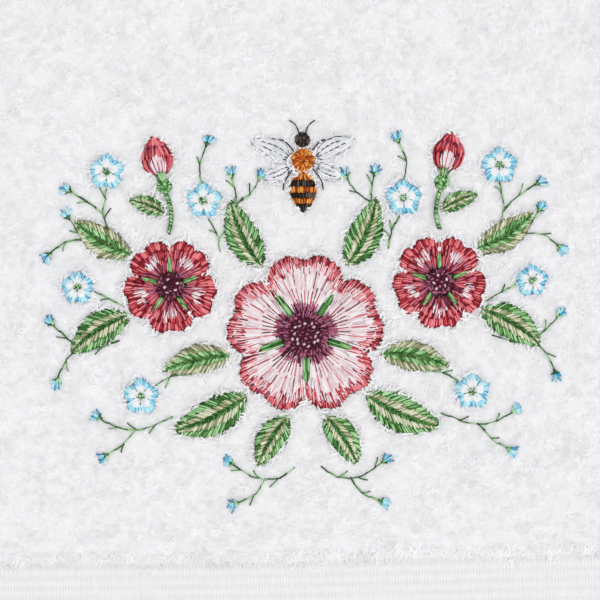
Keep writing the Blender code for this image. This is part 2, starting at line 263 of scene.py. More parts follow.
class Look:
    """A Principled material, and short ways to add the nodes that colour it."""

    def __init__(self, name, roughness, specular=0.5):
        self.material = bpy.data.materials.new(name)
        self.material.use_nodes = True
        self.tree = self.material.node_tree
        self.shader = self.tree.nodes["Principled BSDF"]
        self.place = self.node("TexCoord").outputs["Object"]
        self.fill(self.shader, {"Roughness": roughness, "Specular IOR Level": specular})

    def fill(self, node, values):
        """Put numbers, colours or sockets into a node's inputs."""
        for name, value in values.items():
            if isinstance(value, bpy.types.NodeSocket):
                self.tree.links.new(value, node.inputs[name])
            else:
                node.inputs[name].default_value = value

    def node(self, kind, values=None, **settings):
        """A new node of a kind, with its inputs' values and its settings."""
        node = self.tree.nodes.new(f"ShaderNode{kind}")
        for name, value in settings.items():
            setattr(node, name, value)
        self.fill(node, values or {})
        return node

    def maths(self, operation, *values):
        """The result of a Math node on sockets or numbers."""
        return self.node("Math", dict(enumerate(values)), operation=operation).outputs[0]

    def scaled(self, socket, factor, offset=0.0):
        """A socket times a factor plus an offset."""
        return self.maths("MULTIPLY_ADD", socket, factor, offset)

    def wave(self, socket, factor):
        """A sine from 0 to 1 of a socket times a factor."""
        return self.scaled(self.maths("SINE", self.maths("MULTIPLY", socket, factor)), 0.5, 0.5)

    def noise(self, size, detail=2.0, place=None):
        """Noise from 0 to 1 whose lumps are about size across, in metres."""
        values = {"Vector": place or self.place, "Scale": 1.0 / size, "Detail": detail}
        return self.node("TexNoise", values).outputs[0]

    def tone(self):
        """The tone from 0 to 1 that each fibre or thread carries."""
        return self.node("Attribute", attribute_name="tone").outputs["Fac"]

    def axes(self, socket):
        """A vector socket's three numbers."""
        return self.node("SeparateXYZ", {0: socket}).outputs

    def mix(self, amount, colours):
        """A colour between two colours or colour sockets."""
        first, second = [(*c, 1.0) if isinstance(c, tuple) else c for c in colours]
        values = {"Factor": amount, "A": first, "B": second}
        return self.node("Mix", values, data_type="RGBA").outputs["Result"]

    def bump(self, height, distance, strength=1.0):
        """Raise the surface by height, a socket from 0 to 1, times distance."""
        values = {"Distance": distance, "Strength": strength, "Height": height}
        self.fill(self.shader, {"Normal": self.node("Bump", values).outputs[0]})

    def paint(self, colour):
        """Give the surface its colour."""
        self.fill(self.shader, {"Base Color": colour})


def cotton_look(name, specular, offset, layers):
    """White cotton, warmer and cooler, made lighter and darker by layers of noise and by its
    tone: painted light and shade.
    """
    look = Look(name, 0.95, specular)
    noises = [look.noise(size) for size, _ in layers]
    amount = offset
    for noise, (_, share) in zip(noises, layers):
        amount = look.scaled(noise, share, amount)
    amount = look.maths("ADD", look.tone(), amount)
    warmth = look.noise(2.4 * MM, 3.0)
    shades = [look.mix(warmth, colours) for colours in (COTTON_GREYS, COTTON_LIGHTS)]
    look.paint(look.mix(amount, shades))
    return look, noises


def pile_material():
    """Soft white cotton loops, each a little lighter or greyer, with noise at two sizes: painted
    light and shade for the pile's clumps.
    """
    look, _ = cotton_look("terry_pile", 0.15, -0.6, ((6 * MM, 0.5), (1.6 * MM, 0.7)))
    look.fill(look.shader, {"Sheen Weight": 0.15, "Sheen Roughness": 0.6})
    return look.material


def ground_material():
    """The ground weave under the pile: painted shade in the hollows between loop feet, darker
    where its bump is low.
    """
    look, noises = cotton_look("terry_ground", 0.1, -0.5, ((0.9 * MM, 0.6), (6 * MM, 0.4)))
    # Its finest noise both bumps the surface and darkens the colour in the bump's hollows:
    # painted shade.
    look.bump(noises[0], GROUND_BUMP)
    return look.material


def flat_weave_material():
    """The flat woven border and hems: fine uneven ribs along the towel, with painted shade in the
    grooves between them.
    """
    look = Look("flat_weave", 0.85, 0.2)
    x, y, _ = look.axes(look.place)
    rib = look.wave(look.scaled(look.noise(2.2 * MM), 0.7 * MM, x), math.tau / RIB_PITCH)
    weft = look.wave(y, math.tau / WEFT_PITCH)
    # Each yarn differs a little from its neighbours along its whole length.
    drawn_out = look.node("VectorMath", {0: look.place, 1: YARN_STRETCH}, operation="MULTIPLY")
    yarn = look.noise(0.8 * MM, place=drawn_out.outputs[0])
    height = look.maths("MULTIPLY", look.maths("MULTIPLY", rib, look.noise(3.5 * MM)), 0.6)
    for layer, share in ((weft, 0.08), (look.noise(0.5 * MM), 0.4), (yarn, 0.5)):
        height = look.scaled(layer, share, height)
    # The colour follows the bump's height: painted shade in the grooves, painted light on the
    # ribs, and each yarn's own tone.
    look.paint(look.mix(height, WEAVE_COLOURS))
    look.bump(height, WEAVE_BUMP)
    return look.material


def thread_material(name):
    """Shiny twisted embroidery thread whose strands differ a little in tone, a tone that also
    carries painted highlights and painted shade.
    """
    look = Look(f"thread_{name}", 0.45, 0.13)
    speckle = look.scaled(look.noise(0.8 * MM), 0.4, -0.2)
    ramp = look.node("ValToRGB", {"Fac": look.maths("ADD", look.tone(), speckle)})
    dark, body, light = [(*colour, 1.0) for colour in THREADS[name]]
    ramp.color_ramp.elements[0].color = dark
    ramp.color_ramp.elements[1].color = light
    ramp.color_ramp.elements.new(THREAD_BODY).color = body
    look.paint(ramp.outputs["Color"])
    u, v, _ = look.axes(look.node("UVMap", uv_map="twist").outputs[0])
    look.bump(look.wave(look.maths("ADD", u, v), math.tau), PLY_BUMP, 0.6)
    return look.material


# ---------------------------------------------------------------- strips of mesh
# points holds strips, sections along, points across and x, y, z. tone is from 0
# to 1 for each strip, section and point, and twist counts a thread's turns.
Strips = namedtuple("Strips", "points tone twist")
CELL_MARGIN = 0.12


def dress(name, mesh, slot, *materials):
    """Make a mesh a piece that lies on the towel's one body."""
    for material in materials:
        mesh.materials.append(material)
    piece = bpy.data.objects.new(name, mesh)
    bpy.context.scene.collection.objects.link(piece)
    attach(piece, "root")
    return piece


def set_tones(mesh, tones):
    """Give a mesh's points the tones that colour them."""
    values = mesh.attributes.new("tone", "FLOAT", "POINT")
    values.data.foreach_set("value", tones.astype(np.float32))


def merged(groups):
    """Groups of strips joined where they have as many points a strip."""
    alike = {}
    for group in groups:
        alike.setdefault(group.points.shape[1:3], []).append(group)
    return [Strips(*map(np.concatenate, zip(*same))) for same in alike.values()]


def surface_of(group):
    """The mean length and width of a group's strips."""
    middle = group.points.shape[2] // 2
    steps = np.diff(group.points[:, :, middle], axis=1)
    sides = np.diff(group.points, axis=2)
    length = np.linalg.norm(steps, axis=-1).sum(1).mean()
    return length, np.linalg.norm(sides, axis=-1).sum(2).mean()


def strip_normals(points, upright):
    """The normals of strips, turned towards +Z by a share upright."""
    normals = np.cross(np.gradient(points, axis=1), np.gradient(points, axis=2))
    normals /= np.maximum(np.linalg.norm(normals, axis=-1, keepdims=True), 1e-12)
    normals = normals * (1 - upright) + np.array((0.0, 0.0, upright))
    return normals / np.linalg.norm(normals, axis=-1, keepdims=True)


def grid_quads(index):
    """The corners of the faces between a grid's points, from their numbers."""
    rows = (index[..., :-1, :-1], index[..., 1:, :-1], index[..., 1:, 1:], index[..., :-1, 1:])
    return np.stack(rows, -1)


def strip_mesh(name, groups, upright=None):
    """Join strips into one mesh whose every strip has a cell of its own in a map.

    Pile is shaded as a soft whole, so upright turns its normals towards +Z.
    """
    groups = merged(groups)
    sizes = [surface_of(group) for group in groups]
    areas = [len(g.points) * length * width for g, (length, width) in zip(groups, sizes)]
    quads, maps = [], {"OFBake": [], "twist": []}
    first, floor = 0, 0.0
    for group, (length, width), area in zip(groups, sizes, areas):
        strips, sections, across, _ = group.points.shape
        index = np.arange(strips * sections * across).reshape(strips, sections, across)
        corners = grid_quads(index).reshape(-1)
        band = area / sum(areas)
        columns = math.ceil(math.sqrt(strips * length / (width * band)))
        columns = min(columns, strips)
        rows = math.ceil(strips / columns)
        along = np.linspace(CELL_MARGIN, 1 - CELL_MARGIN, sections)[None, :, None]
        side = np.linspace(CELL_MARGIN, 1 - CELL_MARGIN, across)[None, None, :]
        number = np.arange(strips)[:, None, None]
        level = floor + band * (number // columns + along) / rows
        cell = (number % columns + side) / columns, level
        turn = side, along * group.twist[:, None, None]
        for corner_map, (u, v) in zip(maps.values(), (cell, turn)):
            uv = [np.broadcast_to(part, index.shape) for part in (u, v)]
            corner_map.append(np.stack(uv, -1).reshape(-1, 2)[corners])
        quads.append(corners + first)
        first += index.size
        floor += band
    quads = np.concatenate(quads)
    points = np.concatenate([group.points.reshape(-1, 3) for group in groups])
    mesh = bpy.data.meshes.new(name)
    mesh.vertices.add(first)
    mesh.vertices.foreach_set("co", points.astype(np.float32).ravel())
    mesh.loops.add(len(quads))
    mesh.loops.foreach_set("vertex_index", quads.astype(np.int32))
    mesh.polygons.add(len(quads) // 4)
    mesh.polygons.foreach_set("loop_start", np.arange(0, len(quads), 4, dtype=np.int32))
    mesh.update(calc_edges=True)
    mesh.shade_smooth()
    shapes = [group.points.shape[:3] for group in groups]
    tones = [np.broadcast_to(g.tone, shape).reshape(-1) for g, shape in zip(groups, shapes)]
    set_tones(mesh, np.concatenate(tones))
    for map_name, parts in maps.items():
        layer = mesh.uv_layers.new(name=map_name)
        layer.uv.foreach_set("vector", np.concatenate(parts).astype(np.float32).ravel())
    if upright is not None:
        normals = [strip_normals(group.points, upright).reshape(-1, 3) for group in groups]
        mesh.normals_split_custom_set_from_vertices(np.concatenate(normals).tolist())
    return mesh


# ---------------------------------------------------------------- the flat cloth
RIDGE_ROWS = 7
SHEET_STEP = 2.25 * MM
HEM_PUFF = 0.25 * MM
HEM_STITCH_INSET = 2.2 * MM
NUB_SIZE = 2.3 * MM
NUB_HEIGHT = 0.7 * MM
PUCKER = 0.12 * MM
PUCKER_SIZE = 4 * MM
WORN_SIZE = 9 * MM


def ramp_ends(*edges):
    """Where the cloth's slopes up to or down from the pile start and end."""
    return [edge + way * PILE_EDGE / 2 for edge in edges for way in (-1, 1)]


def lines_across(breaks, half, extra=()):
    """Places of the sheet's lines from one edge to the other, close at its folds."""
    fold = [FOLD_ROUND * (1 - math.cos(a)) for a in np.linspace(0, math.pi / 2, 4)]
    breaks = [0.0, FOLD_ROUND, *breaks, half]
    lines = {breaks[0], *fold, *extra}
    for start, end in zip(breaks, breaks[1:]):
        count = max(1, math.ceil((end - start) / SHEET_STEP))
        lines |= {start + (end - start) * k / count for k in range(1, count + 1)}
    near = np.array(sorted(lines)) - half
    return np.concatenate((near, -near[-2::-1]))


def fold_drop(inset):
    """How far the rounded edge of a fold is below the hem's top."""
    left = np.clip(1.0 - inset / FOLD_ROUND, 0.0, 1.0)
    return (HEM_HEIGHT - FOLD_TOP) * (1.0 - np.sqrt(1.0 - left**2))


def hem_puff(inset, depth):
    """The turned cloth swells between the fold and its row of stitches."""
    t = np.clip(inset / (depth - HEM_STITCH_INSET), 0.0, 1.0)
    return HEM_PUFF * np.sin(math.pi * t) * (inset < depth)


def ridges(x, y):
    """The border's ridges, worn lower in places."""
    from_side, from_end = insets(x, y)
    depth = from_end - BORDER_INSET - PILE_EDGE
    on_ridges = (depth > 0) & (depth < RIDGE_COUNT * RIDGE_PITCH)
    on_ridges &= from_side > SIDE_HEM_DEPTH
    worn = 0.3 + 0.8 * soft_noise(x, y, WORN_SIZE, 5)
    ridge = (1 - np.cos(math.tau * depth / RIDGE_PITCH)) / 2 * RIDGE_HEIGHT * worn
    return np.where(on_ridges, ridge, 0.0)


def sheet_height(x, y):
    """The height of the cloth without its pile, before it is laid out."""
    from_side, from_end = insets(x, y)
    nubs = soft_noise(x, y, NUB_SIZE, 7) - 0.5
    ground = pile_height(x, y) + pile_lumps(x, y) - GROUND_DROP
    ground = ground + NUB_HEIGHT * nubs * (0.1 + 0.9 * grown(fibre_size(x, y))) - edge_sink(x, y)
    ragged = EDGE_WANDER * (soft_noise(x, y, EDGE_CLUMP, EDGE_CLUMP_SEED) - 0.5)
    ends = ramp_ends(HEM_DEPTH, BORDER_INSET, BORDER_END)
    share = np.interp(from_end + ragged, ends, (0, 1, 1, 0, 0, 1))
    base = np.interp(from_end, ends, [HEM_HEIGHT] * 2 + [BORDER_HEIGHT] * 4)
    side_share = np.interp(from_side, ramp_ends(SIDE_HEM_DEPTH), (0, 1))
    by_side = HEM_HEIGHT + (ground - HEM_HEIGHT) * side_share
    level = np.minimum(base + (ground - base) * share, by_side) + ridges(x, y)
    puff = np.maximum(hem_puff(from_end, HEM_DEPTH), hem_puff(from_side, SIDE_HEM_DEPTH))
    level = level + puff + PUCKER * (soft_noise(x, y, PUCKER_SIZE, 6) - 0.5)
    return level - np.maximum(fold_drop(from_end), fold_drop(from_side))


def build_sheet():
    """The towel's cloth: ground weave, ribbed borders and folded hems."""
    columns = lines_across(ramp_ends(SIDE_HEM_DEPTH), WIDTH / 2)
    first = BORDER_INSET + PILE_EDGE
    count = RIDGE_COUNT * RIDGE_ROWS
    on_ridges = [first + RIDGE_PITCH * k / RIDGE_ROWS for k in range(count + 1)]
    breaks = ramp_ends(HEM_DEPTH, BORDER_INSET, BORDER_END)
    rows = lines_across(breaks, LENGTH / 2, on_ridges)
    x, y = np.meshgrid(columns, rows)
    top = np.stack((*as_lying(x, y), sheet_height(x, y)), -1).reshape(-1, 3)
    index = np.arange(x.size).reshape(x.shape)
    # Its rows are across, not along, so the corners go the other way to face up.
    quads = grid_quads(index)[..., [0, 3, 2, 1]].reshape(-1, 4)
    middle_x = (x[:-1, :-1] + x[1:, 1:]) / 2
    middle_y = (y[:-1, :-1] + y[1:, 1:]) / 2
    is_flat = ~has_pile(middle_x, middle_y).reshape(-1)

    # The rim goes once round, then down in two rings to the flat underside.
    rim = np.concatenate((index[0, :-1], index[:-1, -1], index[-1, :0:-1], index[:0:-1, 0]))
    side_ring = top[rim] * (1, 1, 0) + (0, 0, FOLD_BOTTOM)
    tuck = (1 - FOLD_ROUND / (WIDTH / 2), 1 - FOLD_ROUND / (LENGTH / 2), 0)
    points = np.concatenate((top, side_ring, top[rim] * tuck))
    rings = (rim, *(len(top) + len(rim) * k + np.arange(len(rim)) for k in (0, 1)))
    walls = []
    for upper, lower in zip(rings, rings[1:]):
        walls.append(np.stack((upper, lower, np.roll(lower, -1), np.roll(upper, -1)), -1))
    faces = [*quads.tolist(), *np.concatenate(walls).tolist(), rings[-1][::-1].tolist()]
    mesh = bpy.data.meshes.new("towel_sheet")
    mesh.from_pydata(points.tolist(), [], faces)
    mesh.shade_smooth()
    slots = np.zeros(len(faces), dtype=np.int32)
    slots[: len(is_flat)] = is_flat
    slots[len(is_flat) : -1] = 1
    mesh.polygons.foreach_set("material_index", slots)
    tone = np.ones(len(points))
    # The ground under the pile takes the pile's tone, painted darker away from the picture as
    # painted shade.
    tone[: len(top)] = pile_tone_with_shade(fibre_size(x, y)).ravel()
    set_tones(mesh, tone)
    mesh.update()
    sheet = dress("towel_sheet", mesh, "cotton_terry", ground_material(), flat_weave_material())
    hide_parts("towel_cloth")
    return sheet


# ---------------------------------------------------------------- the garland's plan
# Millimetres from the garland's centre, one row for both halves: the left half
# is the right one mirrored. Angles are in degrees from +X.
Bloom = namedtuple("Bloom", "name x y eye inner outer turn")
Leaf = namedtuple("Leaf", "name x y heading length width bow thread")
Disc = namedtuple("Disc", "name x y radius lobes lobe_depth", defaults=(0, 0.0))

CENTRE_BLOOM = Bloom("bloom", 0.0, -12.0, 5.9, 6.6, 21.0, 90.0)
SIDE_BLOOM = Bloom("side_bloom", 35.0, 1.0, 3.3, 3.9, 12.5, 54.0)
LEAVES = (
    Leaf("leaf_low", 5.0, -33.4, -58, 15.0, 7.5, 0.8, "green"),
    Leaf("leaf_under", 15.8, -28.0, -24, 21.0, 9.5, -1.2, "green"),
    Leaf("leaf_inner", 19.8, -17.3, -12, 18.0, 7.5, 1.0, "khaki"),
    Leaf("leaf_upper", 11.2, 5.8, 66, 19.0, 8.5, -1.2, "green"),
    Leaf("leaf_outer", 46.0, -6.3, -33, 18.0, 8.5, 1.2, "green"),
    Leaf("leaf_rising", 45.2, 9.6, 32, 17.0, 7.5, -1.0, "khaki"),
    Leaf("leaf_bud", 36.0, 19.8, 22, 10.0, 4.6, 0.6, "green"),
)
ROSEBUD = Leaf("rosebud", 36.8, 29.5, 78, 10.5, 8.0, 0.0, "crimson")
CALYX = Disc("calyx", 36.1, 27.0, 1.9)
BUD_STEM = ((35.2, 14.8), (34.4, 18.2), (34.6, 21.6), (35.4, 24.4))
STEM_TOP = (35.8, 25.7)
STARS = (
    Disc("star_top", 26.0, 23.0, 4.6, 5, 0.22),
    Disc("star_corner", 51.0, 31.0, 4.6, 5, 0.22),
    Disc("star_side", 59.0, 1.0, 4.2, 5, 0.22),
    Disc("star_low", 43.0, -27.5, 4.6, 5, 0.22),
)
BEE_HEAD = Disc("bee_head", 0.0, 38.5, 2.0)
BEE_THORAX = Disc("bee_thorax", 0.0, 33.2, 2.9)
BEE_TAIL = Leaf("bee_tail", 0.0, 29.9, -90, 10.0, 6.6, 0.0, "black")
BEE_WINGS = (
    Leaf("bee_wing_front", 3.6, 34.0, 24, 10.5, 4.6, 0.6, "white"),
    Leaf("bee_wing_back", 3.6, 31.4, -22, 7.2, 3.6, -0.4, "white"),
)
# A feeler and two legs, each of two stitches, for one side of the bee.
BEE_LIMBS = (
    ((0.7, 40.0), (1.6, 42.2), (3.4, 43.6)),
    ((2.2, 35.4), (4.6, 38.2), (6.2, 38.6)),
    ((2.4, 31.2), (4.9, 27.6), (5.2, 25.4)),
)
SIDES = {-1: "left", 1: "right"}

PETALS = 5
PETAL_HALF_ANGLE = math.radians(34)
PETAL_WAIST = 0.78
PETAL_WIDEST = 0.7
PETAL_SHOULDER = 0.16
PETAL_NOTCH = 0.07
PETAL_NOTCH_WIDTH = 0.22
LEAF_LEAN = 0.8
LEAF_FULLNESS = 0.8
FIELD_Z = 4.9 * MM
FIELD_RIM = 0.25 * MM
FIELD_CROWN = 0.8 * MM
FIELD_TIP = 0.25 * MM
FIELD_END = 0.04
STEM_RADIUS = 0.5 * MM

# Running stitches: how many sky buds end each sprig, then its places.
Sprig = namedtuple("Sprig", "buds places")
SPRIGS = (
    Sprig(1, ((46.5, 8.0), (52.0, 9.5), (57.0, 13.5), (61.0, 19.0))),
    Sprig(1, ((57.0, 13.5), (62.0, 13.0), (66.0, 10.0))),
    Sprig(0, ((51.0, 9.2), (50.0, 13.5), (52.0, 20.0), (51.0, 26.6))),
    Sprig(1, ((52.0, 20.0), (56.5, 23.5), (60.5, 26.0))),
    Sprig(0, ((47.0, -4.0), (51.0, -2.0), (55.0, 0.2))),
    Sprig(1, ((48.5, -13.0), (55.0, -15.0), (61.0, -13.0), (65.5, -8.5))),
    Sprig(1, ((58.5, -14.2), (62.5, -18.0), (64.5, -22.5))),
    Sprig(0, ((30.5, -22.0), (35.5, -22.5), (39.5, -25.0))),
    Sprig(1, ((35.0, -33.0), (41.0, -35.5), (47.5, -36.0), (53.5, -33.0))),
    Sprig(1, ((44.5, -36.0), (48.0, -40.0), (52.0, -42.5))),
    Sprig(0, ((22.0, 10.0), (22.5, 14.0), (25.0, 18.6))),
    Sprig(1, ((22.3, 13.0), (18.5, 17.5), (17.5, 23.5), (18.5, 29.0))),
    Sprig(1, ((17.6, 22.0), (13.5, 25.0), (11.5, 28.5))),
    Sprig(1, ((26.0, 27.5), (27.0, 32.0), (25.0, 37.5))),
    Sprig(1, ((3.5, -46.5), (8.0, -49.5), (14.0, -49.0), (19.5, -45.5))),
    Sprig(1, ((11.0, -49.4), (14.0, -53.5), (18.5, -55.5))),
)


def mirrored(row, side):
    """A row of the garland for one side of its centre line."""
    changes = {"x": side * row.x}
    if isinstance(row, Leaf) and side < 0:
        changes |= {"heading": 180 - row.heading, "bow": -row.bow}
    if isinstance(row, Bloom) and side < 0:
        changes["turn"] = 180 - row.turn
    return row._replace(**changes)


def on_towel(x, y):
    """Millimetres from the garland's centre as places on the towel."""
    return x * MM, MOTIF_Y + y * MM


def turned(row, along, aside, angle):
    """Places in a row's own frame, along and aside, as places on the towel."""
    x0, y0 = on_towel(row.x, row.y)
    cos, sin = math.cos(angle), math.sin(angle)
    return x0 + along * cos - aside * sin, y0 + along * sin + aside * cos


def crown(s, t):
    """The height of a leaf's or petal's padding."""
    ease = np.sqrt(np.sin(math.pi * np.clip(t, FIELD_END, 1 - FIELD_END)))
    return FIELD_Z + (FIELD_RIM + FIELD_CROWN * np.sqrt(np.clip(1 - s * s, 0.0, 1.0))) * ease


def dome(t):
    """The height of a disc's padding."""
    return FIELD_Z + FIELD_RIM + FIELD_CROWN * np.sqrt(np.clip(1 - t * t, 0.0, 1.0))


# A field is a function from places across and along a motif to x, y and z.
def leaf_field(leaf):
    """The field of a leaf."""

    def field(s, t):
        lean = np.clip(t, 0.0, 1.0 - FIELD_END**2) ** LEAF_LEAN
        full = np.sin(math.pi * lean) ** LEAF_FULLNESS
        half = FIELD_TIP + (leaf.width * MM / 2 - FIELD_TIP) * full
        spine = leaf.bow * MM * 4 * t * (1 - t)
        along = leaf.length * MM * t
        return *turned(leaf, along, spine + half * s, math.radians(leaf.heading)), crown(s, t)

    return field


def petal_field(bloom, number):
    """The field of one of a bloom's petals, from its eye out."""
    turn = math.radians(bloom.turn) + math.tau * number / PETALS

    def field(s, t):
        notch = PETAL_NOTCH * np.exp(-((s / PETAL_NOTCH_WIDTH) ** 2))
        rim = bloom.outer * MM * (1 - PETAL_SHOULDER * s**4 - notch)
        radius = bloom.inner * MM + (rim - bloom.inner * MM) * t
        opening = np.sin(math.pi / 2 * np.clip(t / PETAL_WIDEST, 0.0, 1.0))
        angle = PETAL_HALF_ANGLE * (PETAL_WAIST + (1 - PETAL_WAIST) * opening) * s
        return *turned(bloom, radius * np.cos(angle), radius * np.sin(angle), turn), crown(s, t)

    return field


def disc_field(disc):
    """The field of a disc: s is the share of a turn round it, t from centre to rim."""

    def field(s, t):
        angle = math.tau * s
        scallop = disc.lobe_depth * (1 - np.abs(np.cos(disc.lobes * angle / 2)))
        radius = disc.radius * MM * (1 - scallop) * t
        along, aside = radius * np.cos(angle), radius * np.sin(angle)
        return *turned(disc, along, aside, math.pi / 2), dome(t)

    return field


# ---------------------------------------------------------------- threads
THREAD_WIDTH = 0.43 * MM
THREAD_SECTIONS = 6
THREAD_DIVE = 0.4 * MM
THREAD_LIFT = 0.1 * MM
THREAD_ROUND = 0.18 * MM
THREAD_TAPER = 0.35
THREAD_PAINTED_GLEAM = 0.28
THREAD_PAINTED_SHADE = 0.5
TWIST_LENGTH = 0.55 * MM
FREE_ARCH = 0.25 * MM
FREE_DIVE = 0.64 * MM
TONE_SPREAD = 0.5
VEIN_LIFT = 0.1 * MM
SPRIG_HEIGHT = FIELD_Z + 0.3 * MM
PAD_SINK = 0.1 * MM
PAD_SKIRT = 0.5 * MM
PAD_SECTIONS = 14
PAD_ACROSS = 9
PAD_TURN_SECTIONS = 31
PAD_RINGS = (1.0, 0.98, 0.9, 0.75, 0.5, 0.25, 0.0)
PAD_TWIST = 8.0

# Each piece of the embroidery: its thread, and the strips sewn so far.
sewn = {
    "bloom_blush": ("blush", []),
    "bloom_crimson": ("crimson", []),
    "bloom_plum": ("plum", []),
    "leaves_green": ("green", []),
    "leaves_khaki": ("khaki", []),
    "sprigs_green": ("green", []),
    "stars_sky": ("sky", []),
    "knots_white": ("white", []),
    "bee_black": ("black", []),
    "bee_orange": ("orange", []),
    "bee_wings": ("white", []),
}


def pairs(first, second):
    """Two columns of places, or one of them a number, as rows of two."""
    return np.stack(np.broadcast_arrays(first, second), -1).astype(float)


def around(rng, count, wobble):
    """Shares of a turn for stitches that go once round a disc."""
    return np.linspace(0, 1, count, endpoint=False) + rng.normal(0, wobble, count)


def fanned(angles):
    """Rows of (x, y) that point out along angles."""
    return pairs(np.cos(angles), np.sin(angles))


def thread_strips(paths, tone, width=THREAD_WIDTH):
    """Threads of half round section along paths: stitches, sections and x, y, z."""
    ahead = np.gradient(paths, axis=1)[..., :2]
    ahead /= np.maximum(np.linalg.norm(ahead, axis=-1, keepdims=True), 1e-9)
    side = np.stack((-ahead[..., 1], ahead[..., 0], np.zeros(ahead.shape[:2])), -1)
    u = np.linspace(-1, 1, paths.shape[1])
    taper = (1 - THREAD_TAPER * u**6)[None, :, None]
    half = np.broadcast_to(np.asarray(width) / 2, (len(paths),))[:, None, None]
    edge = side * half * taper
    sunk = np.array((0.0, 0.0, THREAD_ROUND))
    points = np.stack((paths - edge - sunk, paths, paths + edge - sunk), 2)
    lengths = np.linalg.norm(np.diff(paths, axis=1), axis=-1).sum(1)
    # Painted highlight along the middle of a stitch, and painted shade where it dives and along
    # its two sides.
    painted_light_and_shade = THREAD_PAINTED_GLEAM * (1 - 2.6 * u**4)[None, :, None]
    shade = THREAD_PAINTED_SHADE * np.array((1.0, 0.0, 1.0))
    return Strips(points, np.asarray(tone)[:, None, None] + painted_light_and_shade - shade, lengths / TWIST_LENGTH)


def sew(piece, strips, lift=0.0):
    """Add strips to one of the embroidery's pieces, a little higher if need be."""
    strips.points[..., 2] += lift
    sewn[piece][1].append(strips)


def tones_for(rng, count, tone):
    """The tones given for stitches, or ones from a range, most near its two ends."""
    if isinstance(tone, tuple):
        tone = tone[0] + (tone[1] - tone[0]) * rng.beta(TONE_SPREAD, TONE_SPREAD, count)
    return tone


def stitches(piece, field, starts, ends, rng, tone, width=THREAD_WIDTH, lift=0.0):
    """Sew stitches on a field from starts to ends, given as columns s and t."""
    starts, ends = pairs(*starts), pairs(*ends)
    tone = tones_for(rng, len(starts), tone)
    u = np.linspace(0, 1, THREAD_SECTIONS)
    line = starts[:, None] * (1 - u[:, None]) + ends[:, None] * u[:, None]
    x, y, z = field(line[..., 0], line[..., 1])
    rise = THREAD_LIFT + rng.uniform(-0.05, 0.07, len(starts))[:, None] * MM
    sway = rng.normal(0, 0.05, len(starts))[:, None] * MM * np.sin(math.pi * u)
    z = z + rise - THREAD_DIVE * np.abs(2 * u - 1) ** 6
    sew(piece, thread_strips(np.stack((x + sway, y + sway, z), -1), tone, width), lift)


def free_stitches(
    piece, starts, ends, rng, tone, height, width=THREAD_WIDTH, arch=FREE_ARCH, dive=FREE_DIVE
):
    """Sew stitches from starts to ends in the garland's millimetres, off the fields."""
    tone = tones_for(rng, len(starts), tone)
    u = np.linspace(0, 1, THREAD_SECTIONS)[:, None]
    line = starts[:, None] * (1 - u) + ends[:, None] * u
    x, y = on_towel(line[..., 0], line[..., 1])
    aside = rng.normal(0, 0.06, len(starts))[:, None] * MM * np.sin(math.pi * u[:, 0])
    rise = arch * np.sin(math.pi * u[:, 0]) - dive * np.abs(2 * u[:, 0] - 1) ** 5
    z = np.zeros_like(x) + height + rise
    sew(piece, thread_strips(np.stack((x + aside, y + aside, z), -1), tone, width))


def pad(piece, field, tone, is_round=False):
    """Sew the padding under a field's threads, as one strip along it or round it."""
    if is_round:
        s = np.linspace(0, 1, PAD_TURN_SECTIONS)[:, None]
        t = np.array(PAD_RINGS)[None, :]
        on_rim = t > 0.99
    else:
        s = np.linspace(-1, 1, PAD_ACROSS)[None, :]
        t = np.linspace(0, 1, PAD_SECTIONS)[:, None]
        on_rim = (np.abs(s) > 0.99) | (t < 0.01) | (t > 0.99)
    x, y, z = field(s, t)
    points = np.stack((x, y, z - PAD_SINK - on_rim * PAD_SKIRT + 0 * x), -1)
    # The padding's tone is mostly low: painted shade that shows in the gaps between the threads.
    sew(piece, Strips(points[None], np.array([[[tone]]]), np.array([PAD_TWIST])))


# ---------------------------------------------------------------- leaves and blooms
LEAF_STEP = 0.43
LEAF_SLANT = 1.05
LEAF_JITTER = 0.006
RIB_STEP = 0.8
RIB_WIDTH = 0.36 * MM

# A tier of long-and-short stitches on a petal. head and foot are how far along
# the petal they start and end, the bows how much further that is at its sides,
# low and high the range of tones, spread the share of the petal's width, and
# lift how far they are raised over the tiers under them.
Tier = namedtuple(
    "Tier",
    "piece count head foot ragged low high spread lift head_bow foot_bow",
    defaults=(0.0, 0.0, 0.0),
)
CENTRE_TIERS = (
    Tier("bloom_blush", 31, 0.46, -0.02, 0.05, 0.3, 1.0, 1.02),
    Tier("bloom_blush", 43, 0.72, 0.38, 0.06, 0.3, 1.0, 1.03),
    Tier("bloom_blush", 53, 0.93, 0.62, 0.05, 0.35, 1.0, 1.03),
    Tier("bloom_crimson", 46, 0.90, 0.72, 0.09, 0.1, 1.0, 1.03, 0.04 * MM, 0.0, -0.24),
    Tier("bloom_crimson", 70, 0.985, 0.83, 0.03, 0.0, 1.0, 1.04, 0.06 * MM, 0.0, -0.1),
    Tier("bloom_plum", 10, 0.96, 0.82, 0.05, 0.1, 0.9, 0.98, 0.12 * MM),
    Tier("bloom_plum", 24, 0.15, -0.04, 0.06, 0.1, 1.0, 0.9, 0.06 * MM),
)
SIDE_TIERS = (
    Tier("bloom_crimson", 22, 0.44, -0.02, 0.06, 0.0, 0.8, 0.98),
    Tier("bloom_crimson", 31, 0.74, 0.36, 0.07, 0.0, 0.9, 1.02),
    Tier("bloom_crimson", 38, 0.98, 0.66, 0.03, 0.1, 1.0, 1.04),
    Tier("bloom_plum", 14, 0.36, -0.04, 0.08, 0.1, 0.9, 0.85, 0.05 * MM),
    Tier("bloom_plum", 8, 0.62, 0.38, 0.1, 0.1, 0.9, 0.9, 0.1 * MM),
    Tier("bloom_blush", 12, 0.66, 0.28, 0.14, 0.0, 0.9, 0.42, 0.1 * MM, -0.9),
)
